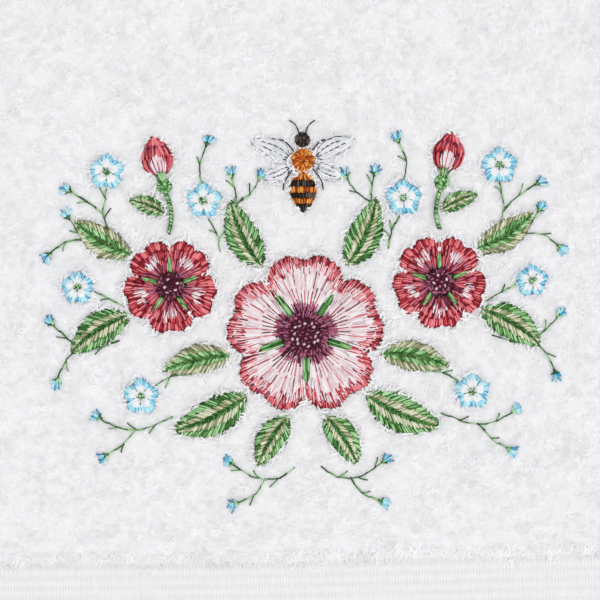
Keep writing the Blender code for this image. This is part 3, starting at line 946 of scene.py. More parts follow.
BUD_TIERS = (
    Tier("bloom_crimson", 22, 0.56, 0.03, 0.05, 0.0, 0.7, 0.97),
    Tier("bloom_crimson", 24, 0.8, 0.44, 0.07, 0.1, 1.0, 1.03),
    Tier("bloom_crimson", 22, 1.0, 0.7, 0.03, 0.1, 1.0, 1.05),
    Tier("bloom_plum", 7, 0.82, 0.6, 0.08, 0.1, 0.9, 0.9, 0.1 * MM),
    Tier("bloom_blush", 11, 0.62, 0.04, 0.05, 0.3, 1.0, 0.5, 0.12 * MM, -0.8),
    Tier("bloom_plum", 5, 0.5, 0.05, 0.06, 0.2, 0.9, 0.55, 0.18 * MM),
)
# Veins up a petal: their place across it, and how far they reach.
VEINS = ((-0.64, 0.62), (-0.33, 0.7), (0.0, 0.78), (0.33, 0.7), (0.64, 0.62))
THROAT_VEINS = (-0.49, -0.17, 0.17, 0.49)
VEIN_WIDTH = 0.3 * MM

SEPAL_STITCHES = 5
SEPAL_TIERS = ((-0.08, 0.3), (0.14, 0.46))
SEPAL_SPREAD = math.radians(6.5)
EYE_KNOT = 0.8
EYE_PITCH = 0.4
GOLDEN_ANGLE = math.pi * (3 - math.sqrt(5))
DISC_PITCH = 0.34
KNOT_RISE = 0.18 * MM
KNOT_DIVE = 0.1 * MM


def leaf_half(leaf, t):
    """Half of a leaf's width in millimetres at t along it."""
    lean = np.clip(t, 0.0, 1.0) ** LEAF_LEAN
    return leaf.width / 2 * np.sin(math.pi * lean) ** LEAF_FULLNESS


def sew_leaf(leaf, rng):
    """Slanted stitches out from the midrib, a paler band inside a ragged margin."""
    margin, middle = "leaves_green", "leaves_khaki"
    if leaf.thread == "khaki":
        margin, middle = middle, margin
    field = leaf_field(leaf)
    pad(margin, field, 0.25)
    count = round(leaf.length / LEAF_STEP)

    def run(first, last, ahead):
        """Where a band's stitches leave the midrib, and how they slant from there."""
        t = np.linspace(first, last, count) + rng.normal(0, LEAF_JITTER, count)
        return t, LEAF_SLANT * leaf_half(leaf, np.clip(t + ahead, 0.02, 1)) / leaf.length

    for side in (-1, 1):
        t, slant = run(-0.1, 0.95, 0.08)
        outer = 1.0 + rng.uniform(-0.03, 0.14, count)
        inner = rng.uniform(0.34, 0.62, count)
        starts = side * outer, np.clip(t + slant * outer, 0.01, 1.0)
        ends = side * inner, np.clip(t + slant * inner, 0.0, 0.985)
        # One side's margin is lighter than the other's: painted light and shade across the leaf.
        shade = 0.12 if side > 0 else 0.0
        stitches(margin, field, starts, ends, rng, (0.05 + shade, 0.85 + shade))
        # The inner band starts among the ends of the margin's stitches.
        t, slant = run(-0.02, 0.9, 0.0)
        outer = rng.uniform(0.44, 0.72, count)
        starts = side * outer, np.clip(t + slant * outer, 0.0, 0.97)
        ends = side * 0.06, np.clip(t + slant * 0.06, 0.01, 0.95)
        stitches(middle, field, starts, ends, rng, (0.15, 0.95))
        # Short dark stitches meet over the midrib.
        t = np.linspace(0.02, 0.88, round(leaf.length / RIB_STEP))
        ribs = (side * 0.2, t + 0.07), (side * -0.04, t)
        stitches("leaves_green", field, *ribs, rng, (0.0, 0.45), RIB_WIDTH, VEIN_LIFT)


def sew_tier(tier, field, rng):
    """Sew one tier of stitches on a petal."""
    count = tier.count
    s = np.linspace(-tier.spread, tier.spread, count) + rng.normal(0, 0.25 / count, count)
    ragged = rng.uniform(-tier.ragged, tier.ragged, (2, count))
    heads = tier.head + ragged[0] + tier.head_bow * s**2
    feet = tier.foot + ragged[1] + tier.foot_bow * s**2
    lean = rng.normal(0, 0.02, count)
    ends = (s, heads), (s * 0.99 + lean, feet)
    stitches(tier.piece, field, *ends, rng, (tier.low, tier.high), lift=tier.lift)


def sew_petal(piece, tone, tiers, field, rng):
    """Sew a petal's padding and its tiers of stitches."""
    pad(piece, field, tone)
    for tier in tiers:
        sew_tier(tier, field, rng)


def sew_bloom(bloom, piece, tone, tiers, rng, is_veined=False):
    """An open bloom: sepals, then petals over them, then the eye."""
    sew_sepals(bloom, rng)
    for number in range(PETALS):
        field = petal_field(bloom, number)
        sew_petal(piece, tone, tiers, field, rng)
        if is_veined:
            for vein, reach in VEINS:
                sew_vein("bloom_crimson", field, vein, 0.02, 0.02 + reach, rng)
            for vein in THROAT_VEINS:
                sew_vein("bloom_plum", field, vein, 0.0, 0.3 + 0.1 * rng.random(), rng)
    sew_eye(bloom, rng)


def sew_sepals(bloom, rng):
    """Narrow green sepals that show between a bloom's petals."""
    reach = bloom.outer - bloom.inner
    fan = np.linspace(-1, 1, SEPAL_STITCHES)
    for number in range(PETALS):
        turn = math.radians(bloom.turn) + math.tau * (number + 0.5) / PETALS
        for tier in SEPAL_TIERS:
            places = []
            for t in tier:
                radius = bloom.inner + reach * (t + rng.uniform(-0.03, 0.03, len(fan)))
                angle = turn + SEPAL_SPREAD * fan * (1 - 1.5 * max(t, 0))
                x, y = bloom.x + radius * np.cos(angle), bloom.y + radius * np.sin(angle)
                places.append(pairs(x, y))
            free_stitches("sprigs_green", *places, rng, (0.0, 0.75), SPRIG_HEIGHT)


def sew_vein(piece, field, s, start, end, rng):
    """A fine line of stitches, end to end, up a petal."""
    knots = np.linspace(start, end, 3) + np.array((0, rng.uniform(-0.05, 0.05), 0))
    sway = s * np.array((1.0, 1.0, 1.02)) + rng.normal(0, 0.008, 3)
    ends = (sway[:-1], knots[:-1] - 0.03), (sway[1:], knots[1:] + 0.03)
    stitches(piece, field, *ends, rng, (0.1, 0.8), VEIN_WIDTH, VEIN_LIFT)


def sew_eye(bloom, rng):
    """A flower's eye: a ring of plum stitches round a heart of tight knots."""
    eye = Disc("eye", bloom.x, bloom.y, bloom.eye)
    field = disc_field(eye)
    pad("bloom_plum", field, 0.15, is_round=True)
    count = round(math.tau * eye.radius * 0.9 / EYE_PITCH)
    s = around(rng, count, 0.004)
    starts = s, rng.uniform(1.0, 1.14, count)
    ends = s + 0.01, rng.uniform(0.66, 0.8, count)
    stitches("bloom_plum", field, starts, ends, rng, (0.0, 1.0))
    # Knots fill the heart in the even whorls of a seed head.
    count = round(1.15 * (eye.radius / EYE_KNOT) ** 2)
    turn = np.arange(count) * GOLDEN_ANGLE
    radius = eye.radius * 0.92 * np.sqrt((np.arange(count) + 0.5) / count)
    spots = pairs(bloom.x + radius * np.cos(turn), bloom.y + radius * np.sin(turn))
    spots = spots + rng.normal(0, 0.08, spots.shape)
    round_top = np.sqrt(1 - (radius / eye.radius) ** 2 * 0.9)
    height = FIELD_Z + FIELD_RIM + 0.95 * FIELD_CROWN * round_top
    ringed = np.abs(radius / eye.radius - 0.5) < 0.1
    for piece, which, high in (("bloom_plum", ~ringed, 1.0), ("bloom_blush", ringed, 0.5)):
        sew_knots(piece, spots[which], height[which, None], rng, (0.0, high), 0.6 * EYE_KNOT)


def sew_knots(piece, spots, height, rng, tone, size):
    """Small knots, each of two short stitches that cross."""
    for turn in (0.0, math.pi / 2):
        angle = rng.uniform(0, math.pi) + turn + rng.normal(0, 0.4, len(spots))
        reach = size * fanned(angle)
        knots = spots - reach, spots + reach
        free_stitches(piece, *knots, rng, tone, height + KNOT_RISE, dive=KNOT_DIVE)


def sew_disc(piece, disc, rng, tone):
    """A disc of stitches out from its middle."""
    field = disc_field(disc)
    pad(piece, field, sum(tone) / 3, is_round=True)
    for inner, outer in ((0.0, 0.62), (0.5, 1.06)):
        count = max(7, round(math.tau * disc.radius * (inner + outer) / 2 / DISC_PITCH))
        s = around(rng, count, 0.006)
        starts = s, outer + rng.uniform(-0.1, 0.05, count)
        ends = s + 0.015, inner + rng.uniform(-0.02, 0.1, count)
        stitches(piece, field, starts, ends, rng, tone)


# Rounds of a star: pale threads fill each lobe, and ragged blue ones rim it. Each
# has its piece, pitch, outer and inner ends, and lowest tone.
STAR_ROUNDS = (("knots_white", 0.5, 0.82, 0.14, 0.2), ("stars_sky", 0.42, 1.03, 0.5, 0.0))
# Deeper blue and green stitches part the lobes: their pieces and ends.
STAR_GAPS = (("stars_sky", 1.0, 0.5), ("sprigs_green", 0.72, 0.4), ("sprigs_green", 0.44, 0.1))
STAR_GAP_WIDTH = 0.42 * MM
STAR_KNOT = 0.4
STAR_KNOT_HEIGHT = FIELD_Z + 1.1 * MM


def sew_star(disc, rng):
    """A small five lobed flower, loosely sewn, with a green heart."""
    field = disc_field(disc)
    pad("knots_white", field, 0.3, is_round=True)
    for piece, pitch, outer, inner, low in STAR_ROUNDS:
        count = round(math.tau * disc.radius / pitch)
        s = around(rng, count, 0.004)
        lobe = np.abs(np.cos(disc.lobes * math.pi * s))
        starts = s, outer + rng.uniform(-0.06, 0.07, count)
        ends = s, inner + 0.12 * lobe + rng.uniform(-0.1, 0.1, count)
        tone = np.clip(low + 0.3 * lobe + rng.uniform(0, 1 - low, count), 0, 1)
        lift = (1 - low) * VEIN_LIFT / 2
        stitches(piece, field, starts, ends, rng, tone, lift=lift)
    gaps = (np.arange(disc.lobes) + 0.5) / disc.lobes
    for piece, outer, inner in STAR_GAPS:
        starts = gaps, outer + rng.uniform(-0.12, 0.05, disc.lobes)
        ends = gaps + rng.normal(0, 0.01, disc.lobes), inner
        stitches(piece, field, starts, ends, rng, (0.0, 0.7), STAR_GAP_WIDTH, VEIN_LIFT)
    spots = pairs(disc.x + rng.normal(0, 0.35, 5), disc.y + rng.normal(0, 0.35, 5))
    sew_knots("sprigs_green", spots, STAR_KNOT_HEIGHT, rng, (0.1, 1.0), STAR_KNOT)


# ---------------------------------------------------------------- stems and the bee
SPRIG_STITCH = 2.5
SPRIG_WIDTH = 0.44 * MM
TWIG_WIDTH = 0.36 * MM
TWIG_ANGLE = 38
SKY_BUD_HEIGHT = SPRIG_HEIGHT + 0.12 * MM
# A sky bud's four petals, a stitch or two each, and the sepals that hold them:
# their pieces, angles in degrees, and how far out they end and start.
SKY_BUD = (
    ("stars_sky", (-34, -18, -6, 6, 18, 34), 2.9, 0.5),
    ("sprigs_green", (-48, 48, 0), 1.5, -0.4),
)
STEM_STITCH = 0.33
STEM_HALF_WIDTH = 0.52
STEM_LEAN = 0.3
STEM_ARCH = 0.4 * MM
STEM_HEIGHT = FIELD_Z + 2 * STEM_RADIUS - 0.3 * MM
SEPAL_FAN = 9
SEPAL_LENGTH = 4.2
SEPAL_HEIGHT = FIELD_Z + 0.95 * MM
# Where the bands of the bee's tail start and end.
BEE_BANDS = (0.0, 0.2, 0.36, 0.52, 0.66, 0.8, 1.0)
BEE_BAND_LAP = 0.025
BEE_PITCH = 0.4
BEE_DOWN = 90
LIMB_WIDTH = 0.34 * MM
LIMB_HEIGHT = SPRIG_HEIGHT + 0.2 * MM
# Lines on a wing: their place across it, and how far they reach.
WING_VEINS = ((-1.0, 1.0), (1.0, 1.0), (-0.3, 0.8), (0.35, 0.7))
WING_VEIN_WIDTH = 0.26 * MM
WING_PITCH = 0.42


def smooth_path(places, step, side):
    """Points about step apart on a smooth curve through one side's places."""
    knots = np.array(places, dtype=float) * (side, 1)
    p = np.vstack((2 * knots[0] - knots[1], knots, 2 * knots[-1] - knots[-2]))
    t = np.linspace(0, 1, 24, endpoint=False)[:, None]
    parts = []
    for a, b, c, d in zip(p, p[1:], p[2:], p[3:]):
        part = 2 * b + (c - a) * t + (2 * a - 5 * b + 4 * c - d) * t**2
        parts.append((part + (3 * b - a - 3 * c + d) * t**3) / 2)
    curve = np.vstack((*parts, knots[-1:]))
    run = np.concatenate(([0], np.cumsum(np.linalg.norm(np.diff(curve, axis=0), axis=1))))
    places = np.linspace(0, run[-1], max(2, round(run[-1] / step) + 1))
    return np.stack([np.interp(places, run, curve[:, k]) for k in (0, 1)], -1)


def sew_sprig(sprig, side, rng):
    """A thin stem of back stitches with side twigs, and small sky buds at its end."""
    path = smooth_path(sprig.places, SPRIG_STITCH, side)
    ahead = np.diff(path, axis=0)
    starts = path[:-1] - 0.08 * ahead + rng.normal(0, 0.08, ahead.shape)
    ends = path[1:] + 0.04 * ahead + rng.normal(0, 0.08, ahead.shape)
    tone = rng.uniform(0.0, 0.75, len(starts))
    width = SPRIG_WIDTH * rng.uniform(0.7, 1.15, len(starts))
    free_stitches("sprigs_green", starts, ends, rng, tone, SPRIG_HEIGHT, width)
    # Twigs leave the stem left and right in turn.
    forks = np.arange(2, len(ahead), 2)
    turn = np.radians(TWIG_ANGLE) * (-1.0) ** np.arange(len(forks))
    turn = turn + np.arctan2(ahead[forks, 1], ahead[forks, 0])
    ends = path[forks] + rng.uniform(2.0, 3.4, len(forks))[:, None] * fanned(turn)
    tone = rng.uniform(0.0, 0.6, len(forks))
    free_stitches("sprigs_green", path[forks], ends, rng, tone, SPRIG_HEIGHT, TWIG_WIDTH)
    if not sprig.buds:
        return
    last = ahead[-1] / np.linalg.norm(ahead[-1])
    heading = math.atan2(last[1], last[0])
    for piece, fan, reach, foot in SKY_BUD:
        out = fanned(heading + np.radians(fan) + rng.normal(0, 0.08, len(fan)))
        starts = path[-1] + foot * out
        ends = path[-1] + reach * rng.uniform(0.8, 1.15, len(fan))[:, None] * out
        free_stitches(piece, starts, ends, rng, (0.0, 1.0), SKY_BUD_HEIGHT)


def sew_bud_stem(side, rng):
    """Close short stitches across the stem between a side bloom and its bud."""
    path = smooth_path((*BUD_STEM, STEM_TOP), STEM_STITCH, side)
    ahead = np.gradient(path, axis=0)
    ahead /= np.linalg.norm(ahead, axis=1, keepdims=True)
    across = pairs(-ahead[:, 1], ahead[:, 0]) * STEM_HALF_WIDTH
    lean = ahead * STEM_LEAN
    ends = path - across - lean, path + across + lean
    free_stitches("leaves_green", *ends, rng, (0.1, 0.9), STEM_HEIGHT, arch=STEM_ARCH)


def sew_calyx(disc, bud, rng):
    """The green cup under a bud, with sepals up the petals."""
    sew_disc("leaves_green", disc, rng, (0.1, 0.9))
    fan = SEPAL_FAN * np.arange(-2, 3)
    out = fanned(np.radians(bud.heading + fan) + rng.normal(0, 0.05, len(fan)))
    centre = np.array((disc.x, disc.y))
    ends = centre + out, centre + SEPAL_LENGTH * out
    free_stitches("leaves_green", *ends, rng, (0.2, 0.9), SEPAL_HEIGHT)


def sew_bee(rng):
    """A bee from above: banded tail, downy thorax, and clear veined wings."""
    field = leaf_field(BEE_TAIL)
    pad("bee_black", field, 0.2)
    for band, (top, bottom) in enumerate(zip(BEE_BANDS, BEE_BANDS[1:])):
        piece = "bee_black" if band % 2 else "bee_orange"
        count = max(5, round(2 * leaf_half(BEE_TAIL, (top + bottom) / 2) / BEE_PITCH))
        reach = top - BEE_BAND_LAP, bottom + BEE_BAND_LAP
        sew_tier(Tier(piece, count, *reach, 0.02, 0.1, 1.0, 1.02), field, rng)
    field = disc_field(BEE_THORAX)
    pad("bee_orange", field, 0.3, is_round=True)
    s, t = rng.random(BEE_DOWN), np.sqrt(rng.uniform(0.02, 1.0, BEE_DOWN))
    down = (s, t - 0.18), (s + rng.normal(0, 0.03, BEE_DOWN), t + 0.28)
    stitches("bee_orange", field, *down, rng, (0.0, 1.0), RIB_WIDTH)
    sew_disc("bee_black", BEE_HEAD, rng, (0.0, 1.0))
    for wing in BEE_WINGS:
        for side in SIDES:
            sew_wing(mirrored(wing, side), rng)
    for side in SIDES:
        limbs = np.array(BEE_LIMBS) * (side, 1)
        starts, ends = limbs[:, :-1].reshape(-1, 2), limbs[:, 1:].reshape(-1, 2)
        free_stitches("bee_black", starts, ends, rng, (0.0, 0.6), LIMB_HEIGHT, LIMB_WIDTH)


def sew_wing(wing, rng):
    """A pale wing, outlined and veined in fine dark thread."""
    field = leaf_field(wing)
    count = round(wing.width / WING_PITCH)
    tiers = [
        Tier("bee_wings", count, top, bottom, 0.03, 0.2, 1.0, 0.95)
        for top, bottom in ((1.0, 0.5), (0.55, 0.02))
    ]
    sew_petal("bee_wings", 0.6, tiers, field, rng)
    knots = np.linspace(0.0, 1.0, 6)
    for s, reach in WING_VEINS:
        line = (s, knots[:-1] * reach), (s, knots[1:] * reach)
        stitches("bee_black", field, *line, rng, (0.0, 0.8), WING_VEIN_WIDTH, VEIN_LIFT)


# ---------------------------------------------------------------- room in the pile
FAR_OFF = 1.0
FIELD_REACH = 3 * MM
OUTLINE_STEPS = 24
ROUND_STEPS = 60
THROAT_REACH = 2.1
LINE_STEP = 1.5


def field_outlines():
    """The outline of every stitched field, in metres on the towel."""
    edge = np.linspace(0, 1, OUTLINE_STEPS)
    full, empty = np.ones(OUTLINE_STEPS), np.zeros(OUTLINE_STEPS)
    s = np.concatenate((empty, edge, full, edge[::-1])) * 2 - 1
    t = np.concatenate((edge, full, edge[::-1], empty))
    blooms = [CENTRE_BLOOM] + [mirrored(SIDE_BLOOM, side) for side in SIDES]
    leaves = [mirrored(leaf, side) for side in SIDES for leaf in (*LEAVES, ROSEBUD, *BEE_WINGS)]
    fields = [leaf_field(leaf) for leaf in (BEE_TAIL, *leaves)]
    fields += [petal_field(bloom, number) for bloom in blooms for number in range(PETALS)]
    outlines = [np.stack(field(s, t)[:2], -1) for field in fields]
    discs = [mirrored(disc, side) for side in SIDES for disc in (CALYX, *STARS)]
    # A disc covers each bloom's eye and the narrow ends of its petals.
    discs += [Disc("throat", bloom.x, bloom.y, THROAT_REACH * bloom.inner) for bloom in blooms]
    s = np.linspace(0, 1, ROUND_STEPS)
    for disc in (BEE_HEAD, BEE_THORAX, *discs):
        outlines.append(np.stack(disc_field(disc)(s, 1.0)[:2], -1))
    return outlines


def thin_lines():
    """The sprigs and stems that are narrower than a field, in metres."""
    lines = []
    for side in SIDES:
        for places in (*(sprig.places for sprig in SPRIGS), BUD_STEM):
            lines.append(np.stack(on_towel(*smooth_path(places, LINE_STEP, side).T), -1))
    return lines


def to_line(points, line):
    """How far each point is from a line of places."""
    start, step = line[:-1], np.diff(line, axis=0)
    length = np.maximum((step**2).sum(1), 1e-18)
    from_start = points[:, None] - start
    share = np.clip((from_start * step).sum(-1) / length, 0, 1)
    gap = from_start - share[..., None] * step
    return np.sqrt((gap**2).sum(-1).min(1))


def is_inside(points, outline):
    """True for points inside a closed outline."""
    x, y = points[:, :1], points[:, 1:]
    ax, ay = outline.T
    bx, by = np.roll(outline, -1, axis=0).T
    spans = (ay > y) != (by > y)
    rise = np.where(by == ay, 1.0, by - ay)
    return (spans & (x < (bx - ax) * (y - ay) / rise + ax)).sum(1) % 2 == 1


def nearest_gap(points, lines, closed):
    """How far each point is from the nearest line, less than 0 inside a closed one."""
    gap = np.full(len(points), FAR_OFF)
    for line in lines:
        low, high = line.min(0) - FIELD_REACH, line.max(0) + FIELD_REACH
        near = np.flatnonzero(((points > low) & (points < high)).all(1))
        if len(near):
            here = to_line(points[near], line)
            if closed:
                here = np.where(is_inside(points[near], line), -here, here)
            gap[near] = np.minimum(gap[near], here)
    return gap


# ---------------------------------------------------------------- the pile
FIBRE_GRID = 0.655 * MM
FIBRE_LENGTH = 2.2 * MM
FIBRE_WIDTH = 0.44 * MM
FIBRE_BEND = 0.06
FIBRE_TOP = 0.42
FIBRE_CURL = 0.22
FIBRE_TAPER = 0.45
FIBRE_ROLL = 5
FIBRE_LIGHT_AND_SHADE = 1.3
MEAN_PAINTED_LIGHT = 0.355
STRAND_SIZE = 1.1 * MM
PILE_UPRIGHT = 0.55
PILE_MARGIN = 0.3 * MM
FAR_SHARE = 0.36
NEAR_SIZE = 1.3
TUFT_PITCH = 2.7 * MM
TUFT_DROP = 0.04 * MM
TUFT_RISE = 0.08 * MM
TUFT_PULL = 0.22
TIP_RAGGED = 0.022
LAY_START = math.radians(20)
LAY_TURN = math.radians(50)
LAY_SIZE = 21 * MM
EDGE_LEAN = 2.4 * MM
FRINGE_LIFT = 0.4 * MM
STITCH_OVERLAP = 0.45 * MM
BESIDE_REACH = 0.9 * MM
LINE_SINK = 0.5 * MM
LINE_REACH = 0.55 * MM


def nearest_tuft(x, y, pitch, seed):
    """Offsets to the nearest of a field of tufts, and two numbers of its own."""
    lattice = np.random.default_rng(seed).random((4, 256, 256))
    ix, iy = np.floor(x / pitch).astype(int), np.floor(y / pitch).astype(int)
    best = np.full(x.shape, np.inf)
    found = np.zeros((4, *x.shape))
    for di in (-1, 0, 1):
        for dj in (-1, 0, 1):
            i, j = ix + di, iy + dj
            cell = lattice[:, i % 256, j % 256]
            dx = (i + 0.15 + 0.7 * cell[0]) * pitch - x
            dy = (j + 0.15 + 0.7 * cell[1]) * pitch - y
            gap = np.hypot(dx, dy)
            closer = gap < best
            best = np.where(closer, gap, best)
            found = np.where(closer, np.stack((dx, dy, cell[2], cell[3])), found)
    return found


def fibre_headings(x, y, own, out, at_edge, rng):
    """Which way fibres lie: it swings slowly and by tuft, and is out over edges."""
    count = len(x)
    swing = soft_noise(x, y, LAY_SIZE, 31) - 0.5
    upright = smooth_step((x / PICTURE_SIDE + (y - PICTURE_Y) / PICTURE_SIDE) * 0.9 + 0.35)
    heading = LAY_START + LAY_TURN * upright + 1.3 * swing + 1.5 * (own - 0.5)
    heading = heading + rng.normal(0, 0.8, count) + math.pi * (rng.random(count) < 0.5)
    return np.where(rng.random(count) < at_edge, out + rng.normal(0, 0.4, count), heading)


def fibre_tips(x, y, size, apart, tuft_rise_and_light, rng):
    """The height of fibres' tips, and their distance from the stitched fields."""
    tip = pile_height(x, y) + pile_relief(x, y) + TUFT_RISE * (tuft_rise_and_light - 0.5)
    ragged = rng.normal(0, TIP_RAGGED, len(x)) * MM * np.minimum(size, 1.6)
    tip = tip - TUFT_DROP * apart**2 + ragged
    tip = tip - edge_sink(x, y)
    # Pile stands up round the stitched fields, and is held down along the sprigs.
    places = np.stack(as_lying(x, y), -1)
    gap = nearest_gap(places, field_outlines(), closed=True)
    beside = (gap > -STITCH_OVERLAP) & (gap < BESIDE_REACH)
    tip = tip + beside * rng.uniform(-0.1, 0.75, len(x)) * MM
    line_gap = nearest_gap(places, thin_lines(), closed=False)
    return tip - LINE_SINK * np.exp(-((line_gap / LINE_REACH) ** 2)), gap


def fibre_strips(x, y, size, rng, sections, pitch, seed):
    """The pile's fibres: flat strips that rise from the ground and bend over."""
    count = len(x)
    edge, out = pile_edges(x, y)
    at_edge = smooth_step(1 - edge / (EDGE_REACH * size))
    dx, dy, own, tuft_rise_and_light = nearest_tuft(x, y, pitch, seed)
    heading = fibre_headings(x, y, own, out, at_edge, rng)
    length = FIBRE_LENGTH * size**0.85 * rng.uniform(0.65, 1.35, count)
    width = FIBRE_WIDTH * size * rng.uniform(0.75, 1.25, count)
    roll = np.tan(np.radians(rng.normal(0, FIBRE_ROLL, count)))
    apart = np.clip(np.hypot(dx, dy) / (pitch / 2), 0, 1.3)
    tip, gap = fibre_tips(x, y, size, apart, tuft_rise_and_light, rng)

    # A fibre that leans out over the edge lies on the cloth there.
    clump = soft_noise(x, y, EDGE_CLUMP, EDGE_CLUMP_SEED)
    lean = at_edge * EDGE_LEAN * (2.2 * clump - 0.5) * rng.uniform(0.3, 1, count)
    below = sheet_height(x + np.cos(out) * lean, y + np.sin(out) * lean)
    rest = below + FRINGE_LIFT * rng.uniform(0.4, 1, count)
    tip = np.where(at_edge > 0, np.minimum(tip, rest), tip)

    places = np.stack(as_lying(x, y), -1)
    pull = TUFT_PULL * (1 - at_edge)
    cx = places[:, 0] + pull * dx + np.cos(out) * lean
    cy = places[:, 1] + pull * dy + np.sin(out) * lean
    u = np.linspace(0, 1, sections)
    along = (u - 0.5) * length[:, None]
    curl = rng.normal(0, FIBRE_CURL, count) * length
    aside = curl[:, None] * (4 * (u - 0.5) ** 2 - 0.4)
    bend = FIBRE_BEND * length * rng.uniform(0.5, 1.4, count) / size
    z = tip[:, None] - bend[:, None] * ((u - FIBRE_TOP) / (1 - FIBRE_TOP)) ** 2
    cos, sin = np.cos(heading)[:, None], np.sin(heading)[:, None]
    centre_x = cx[:, None] + along * cos - aside * sin
    centre_y = cy[:, None] + along * sin + aside * cos
    centre = np.stack((centre_x, centre_y, z), -1)
    half = width[:, None] / 2 * (1 - FIBRE_TAPER * (2 * u - 1) ** 2)
    side = np.stack((-sin * half, cos * half, roll[:, None] * half), -1)
    points = np.stack((centre - side, centre + side), 2)
    # Each fibre lies along the slopes of the tufts that it is on.
    off = points[..., :2] - places[:, None, None]
    slopes = pile_relief(x[:, None, None] + off[..., 0], y[:, None, None] + off[..., 1])
    points[..., 2] += slopes - pile_relief(x, y)[:, None, None]
    # Tufts, strands and single fibres are painted lighter or darker, tufts lighter where they
    # stand higher: painted light and shade for the pile's clumps.
    strand = soft_noise(x, y, STRAND_SIZE, 44) ** 2
    painted_light_and_shade = 0.28 * tuft_rise_and_light + 0.57 * strand + 0.15 * rng.random(count) ** 2
    tone = pile_tone_with_shade(size) + FIBRE_LIGHT_AND_SHADE * (painted_light_and_shade - MEAN_PAINTED_LIGHT)
    strips = Strips(points, tone[:, None, None], np.ones(count))
    return Strips(*(part[gap > -STITCH_OVERLAP] for part in strips))


def build_pile():
    """The towel's pile in four pieces: the picture's halves, and the far halves."""
    rng = np.random.default_rng(3)
    half_x = WIDTH / 2 - SIDE_HEM_DEPTH - PILE_MARGIN
    half_y = LENGTH / 2 - HEM_DEPTH - PILE_MARGIN
    grid = [np.arange(-half, half, FIBRE_GRID) for half in (half_x, half_y)]
    x, y = [part.ravel() for part in np.meshgrid(*grid)]
    x = x + rng.uniform(-0.6, 0.6, x.size) * FIBRE_GRID
    y = y + rng.uniform(-0.6, 0.6, y.size) * FIBRE_GRID
    size = fibre_size(x, y)
    kept = rng.random(x.size) < (1 + (FAR_SHARE - 1) * grown(size)) / size**2
    kept &= has_pile(x, y)
    x, y, size = x[kept], y[kept], size[kept]
    is_near = size < NEAR_SIZE
    # A fibre's sections, and the pitch and seed of the tufts that it belongs to.
    near, far = (4, TUFT_PITCH, 21), (3, TUFT_PITCH * FAR_SIZE, 22)
    parts = (
        ("pile_near_left", is_near & (x < PICTURE_X), near),
        ("pile_near_right", is_near & (x >= PICTURE_X), near),
        ("pile_far_left", ~is_near & (x < 0), far),
        ("pile_far_right", ~is_near & (x >= 0), far),
    )
    material, pieces = pile_material(), []
    for number, (name, which, kind) in enumerate(parts):
        rng = np.random.default_rng(50 + number)
        strips = fibre_strips(x[which], y[which], size[which], rng, *kind)
        mesh = strip_mesh(name, [strips], PILE_UPRIGHT)
        pieces.append(dress(name, mesh, "cotton_terry", material))
    return pieces


# ---------------------------------------------------------------- hem stitches
HEM_STITCH = 2.6 * MM
HEM_STITCH_WIDTH = 0.45 * MM
HEM_STITCH_RISE = 0.12 * MM
HEM_STITCH_DIVE = 0.3 * MM
SIDE_STITCH_INSET = 1.7 * MM
ROW_END = 2 * MM


def hem_rows():
    """The ends of each row of hem stitches on the true rectangle."""
    half_x, half_y = WIDTH / 2, LENGTH / 2
    rows = []
    for sign in (-1, 1):
        y = sign * (half_y - (HEM_DEPTH - HEM_STITCH_INSET))
        x = sign * (half_x - (SIDE_HEM_DEPTH - SIDE_STITCH_INSET))
        rows.append(((-half_x + ROW_END, y), (half_x - ROW_END, y)))
        rows.append(((x, -half_y + ROW_END), (x, half_y - ROW_END)))
    return np.array(rows)


def build_hem_stitches():
    """Lockstitches along the hems, each sunk at its ends."""
    rng = np.random.default_rng(8)
    groups = []
    for start, end in hem_rows():
        count = round(np.linalg.norm(end - start) / HEM_STITCH)
        knots = start + (end - start) * np.linspace(0, 1, count + 1)[:, None]
        u = np.linspace(0.03, 0.93, 5)[:, None]
        line = knots[:-1, None] * (1 - u) + knots[1:, None] * u
        aside = rng.normal(0, 0.07, (count, 1)) * MM * np.ones(5)
        x, y = line[..., 0] + aside, line[..., 1] + aside
        dive = HEM_STITCH_DIVE * np.abs(2 * u[:, 0] - 1) ** 4
        z = sheet_height(x, y) + HEM_STITCH_RISE - dive
        paths = np.stack((*as_lying(x, y), z), -1)
        groups.append(thread_strips(paths, 0.3 + 0.5 * rng.random(count), HEM_STITCH_WIDTH))
    mesh = strip_mesh("hem_stitches", groups)
    return dress("hem_stitches", mesh, "cotton_terry", thread_material("white"))


# ---------------------------------------------------------------- putting it together


def field_nodes():
    """The part's solids that each piece of the embroidery stands for."""
    sides = SIDES.values()
    petals = [f"petal_{number}" for number in range(1, PETALS + 1)]

    def both(names):
        return [f"{name}_{side}" for name in names for side in sides]

    def leaves(thread):
        return [leaf.name for leaf in LEAVES if leaf.thread == thread]

    return {
        "bloom_blush": [f"bloom_{petal}" for petal in petals],
        "bloom_crimson": [f"side_bloom_{side}_{petal}" for side in sides for petal in petals]
        + both(["rosebud"]),
        "bloom_plum": ["bloom_eye"] + [f"side_bloom_{side}_eye" for side in sides],
        "leaves_green": both(leaves("green") + ["calyx", "bud_stem"]),
        "leaves_khaki": both(leaves("khaki")),
        "stars_sky": both([star.name for star in STARS]),
        "bee_black": ["bee_head", "bee_tail"],
        "bee_orange": ["bee_thorax"],
        "bee_wings": both([wing.name for wing in BEE_WINGS]),
    }


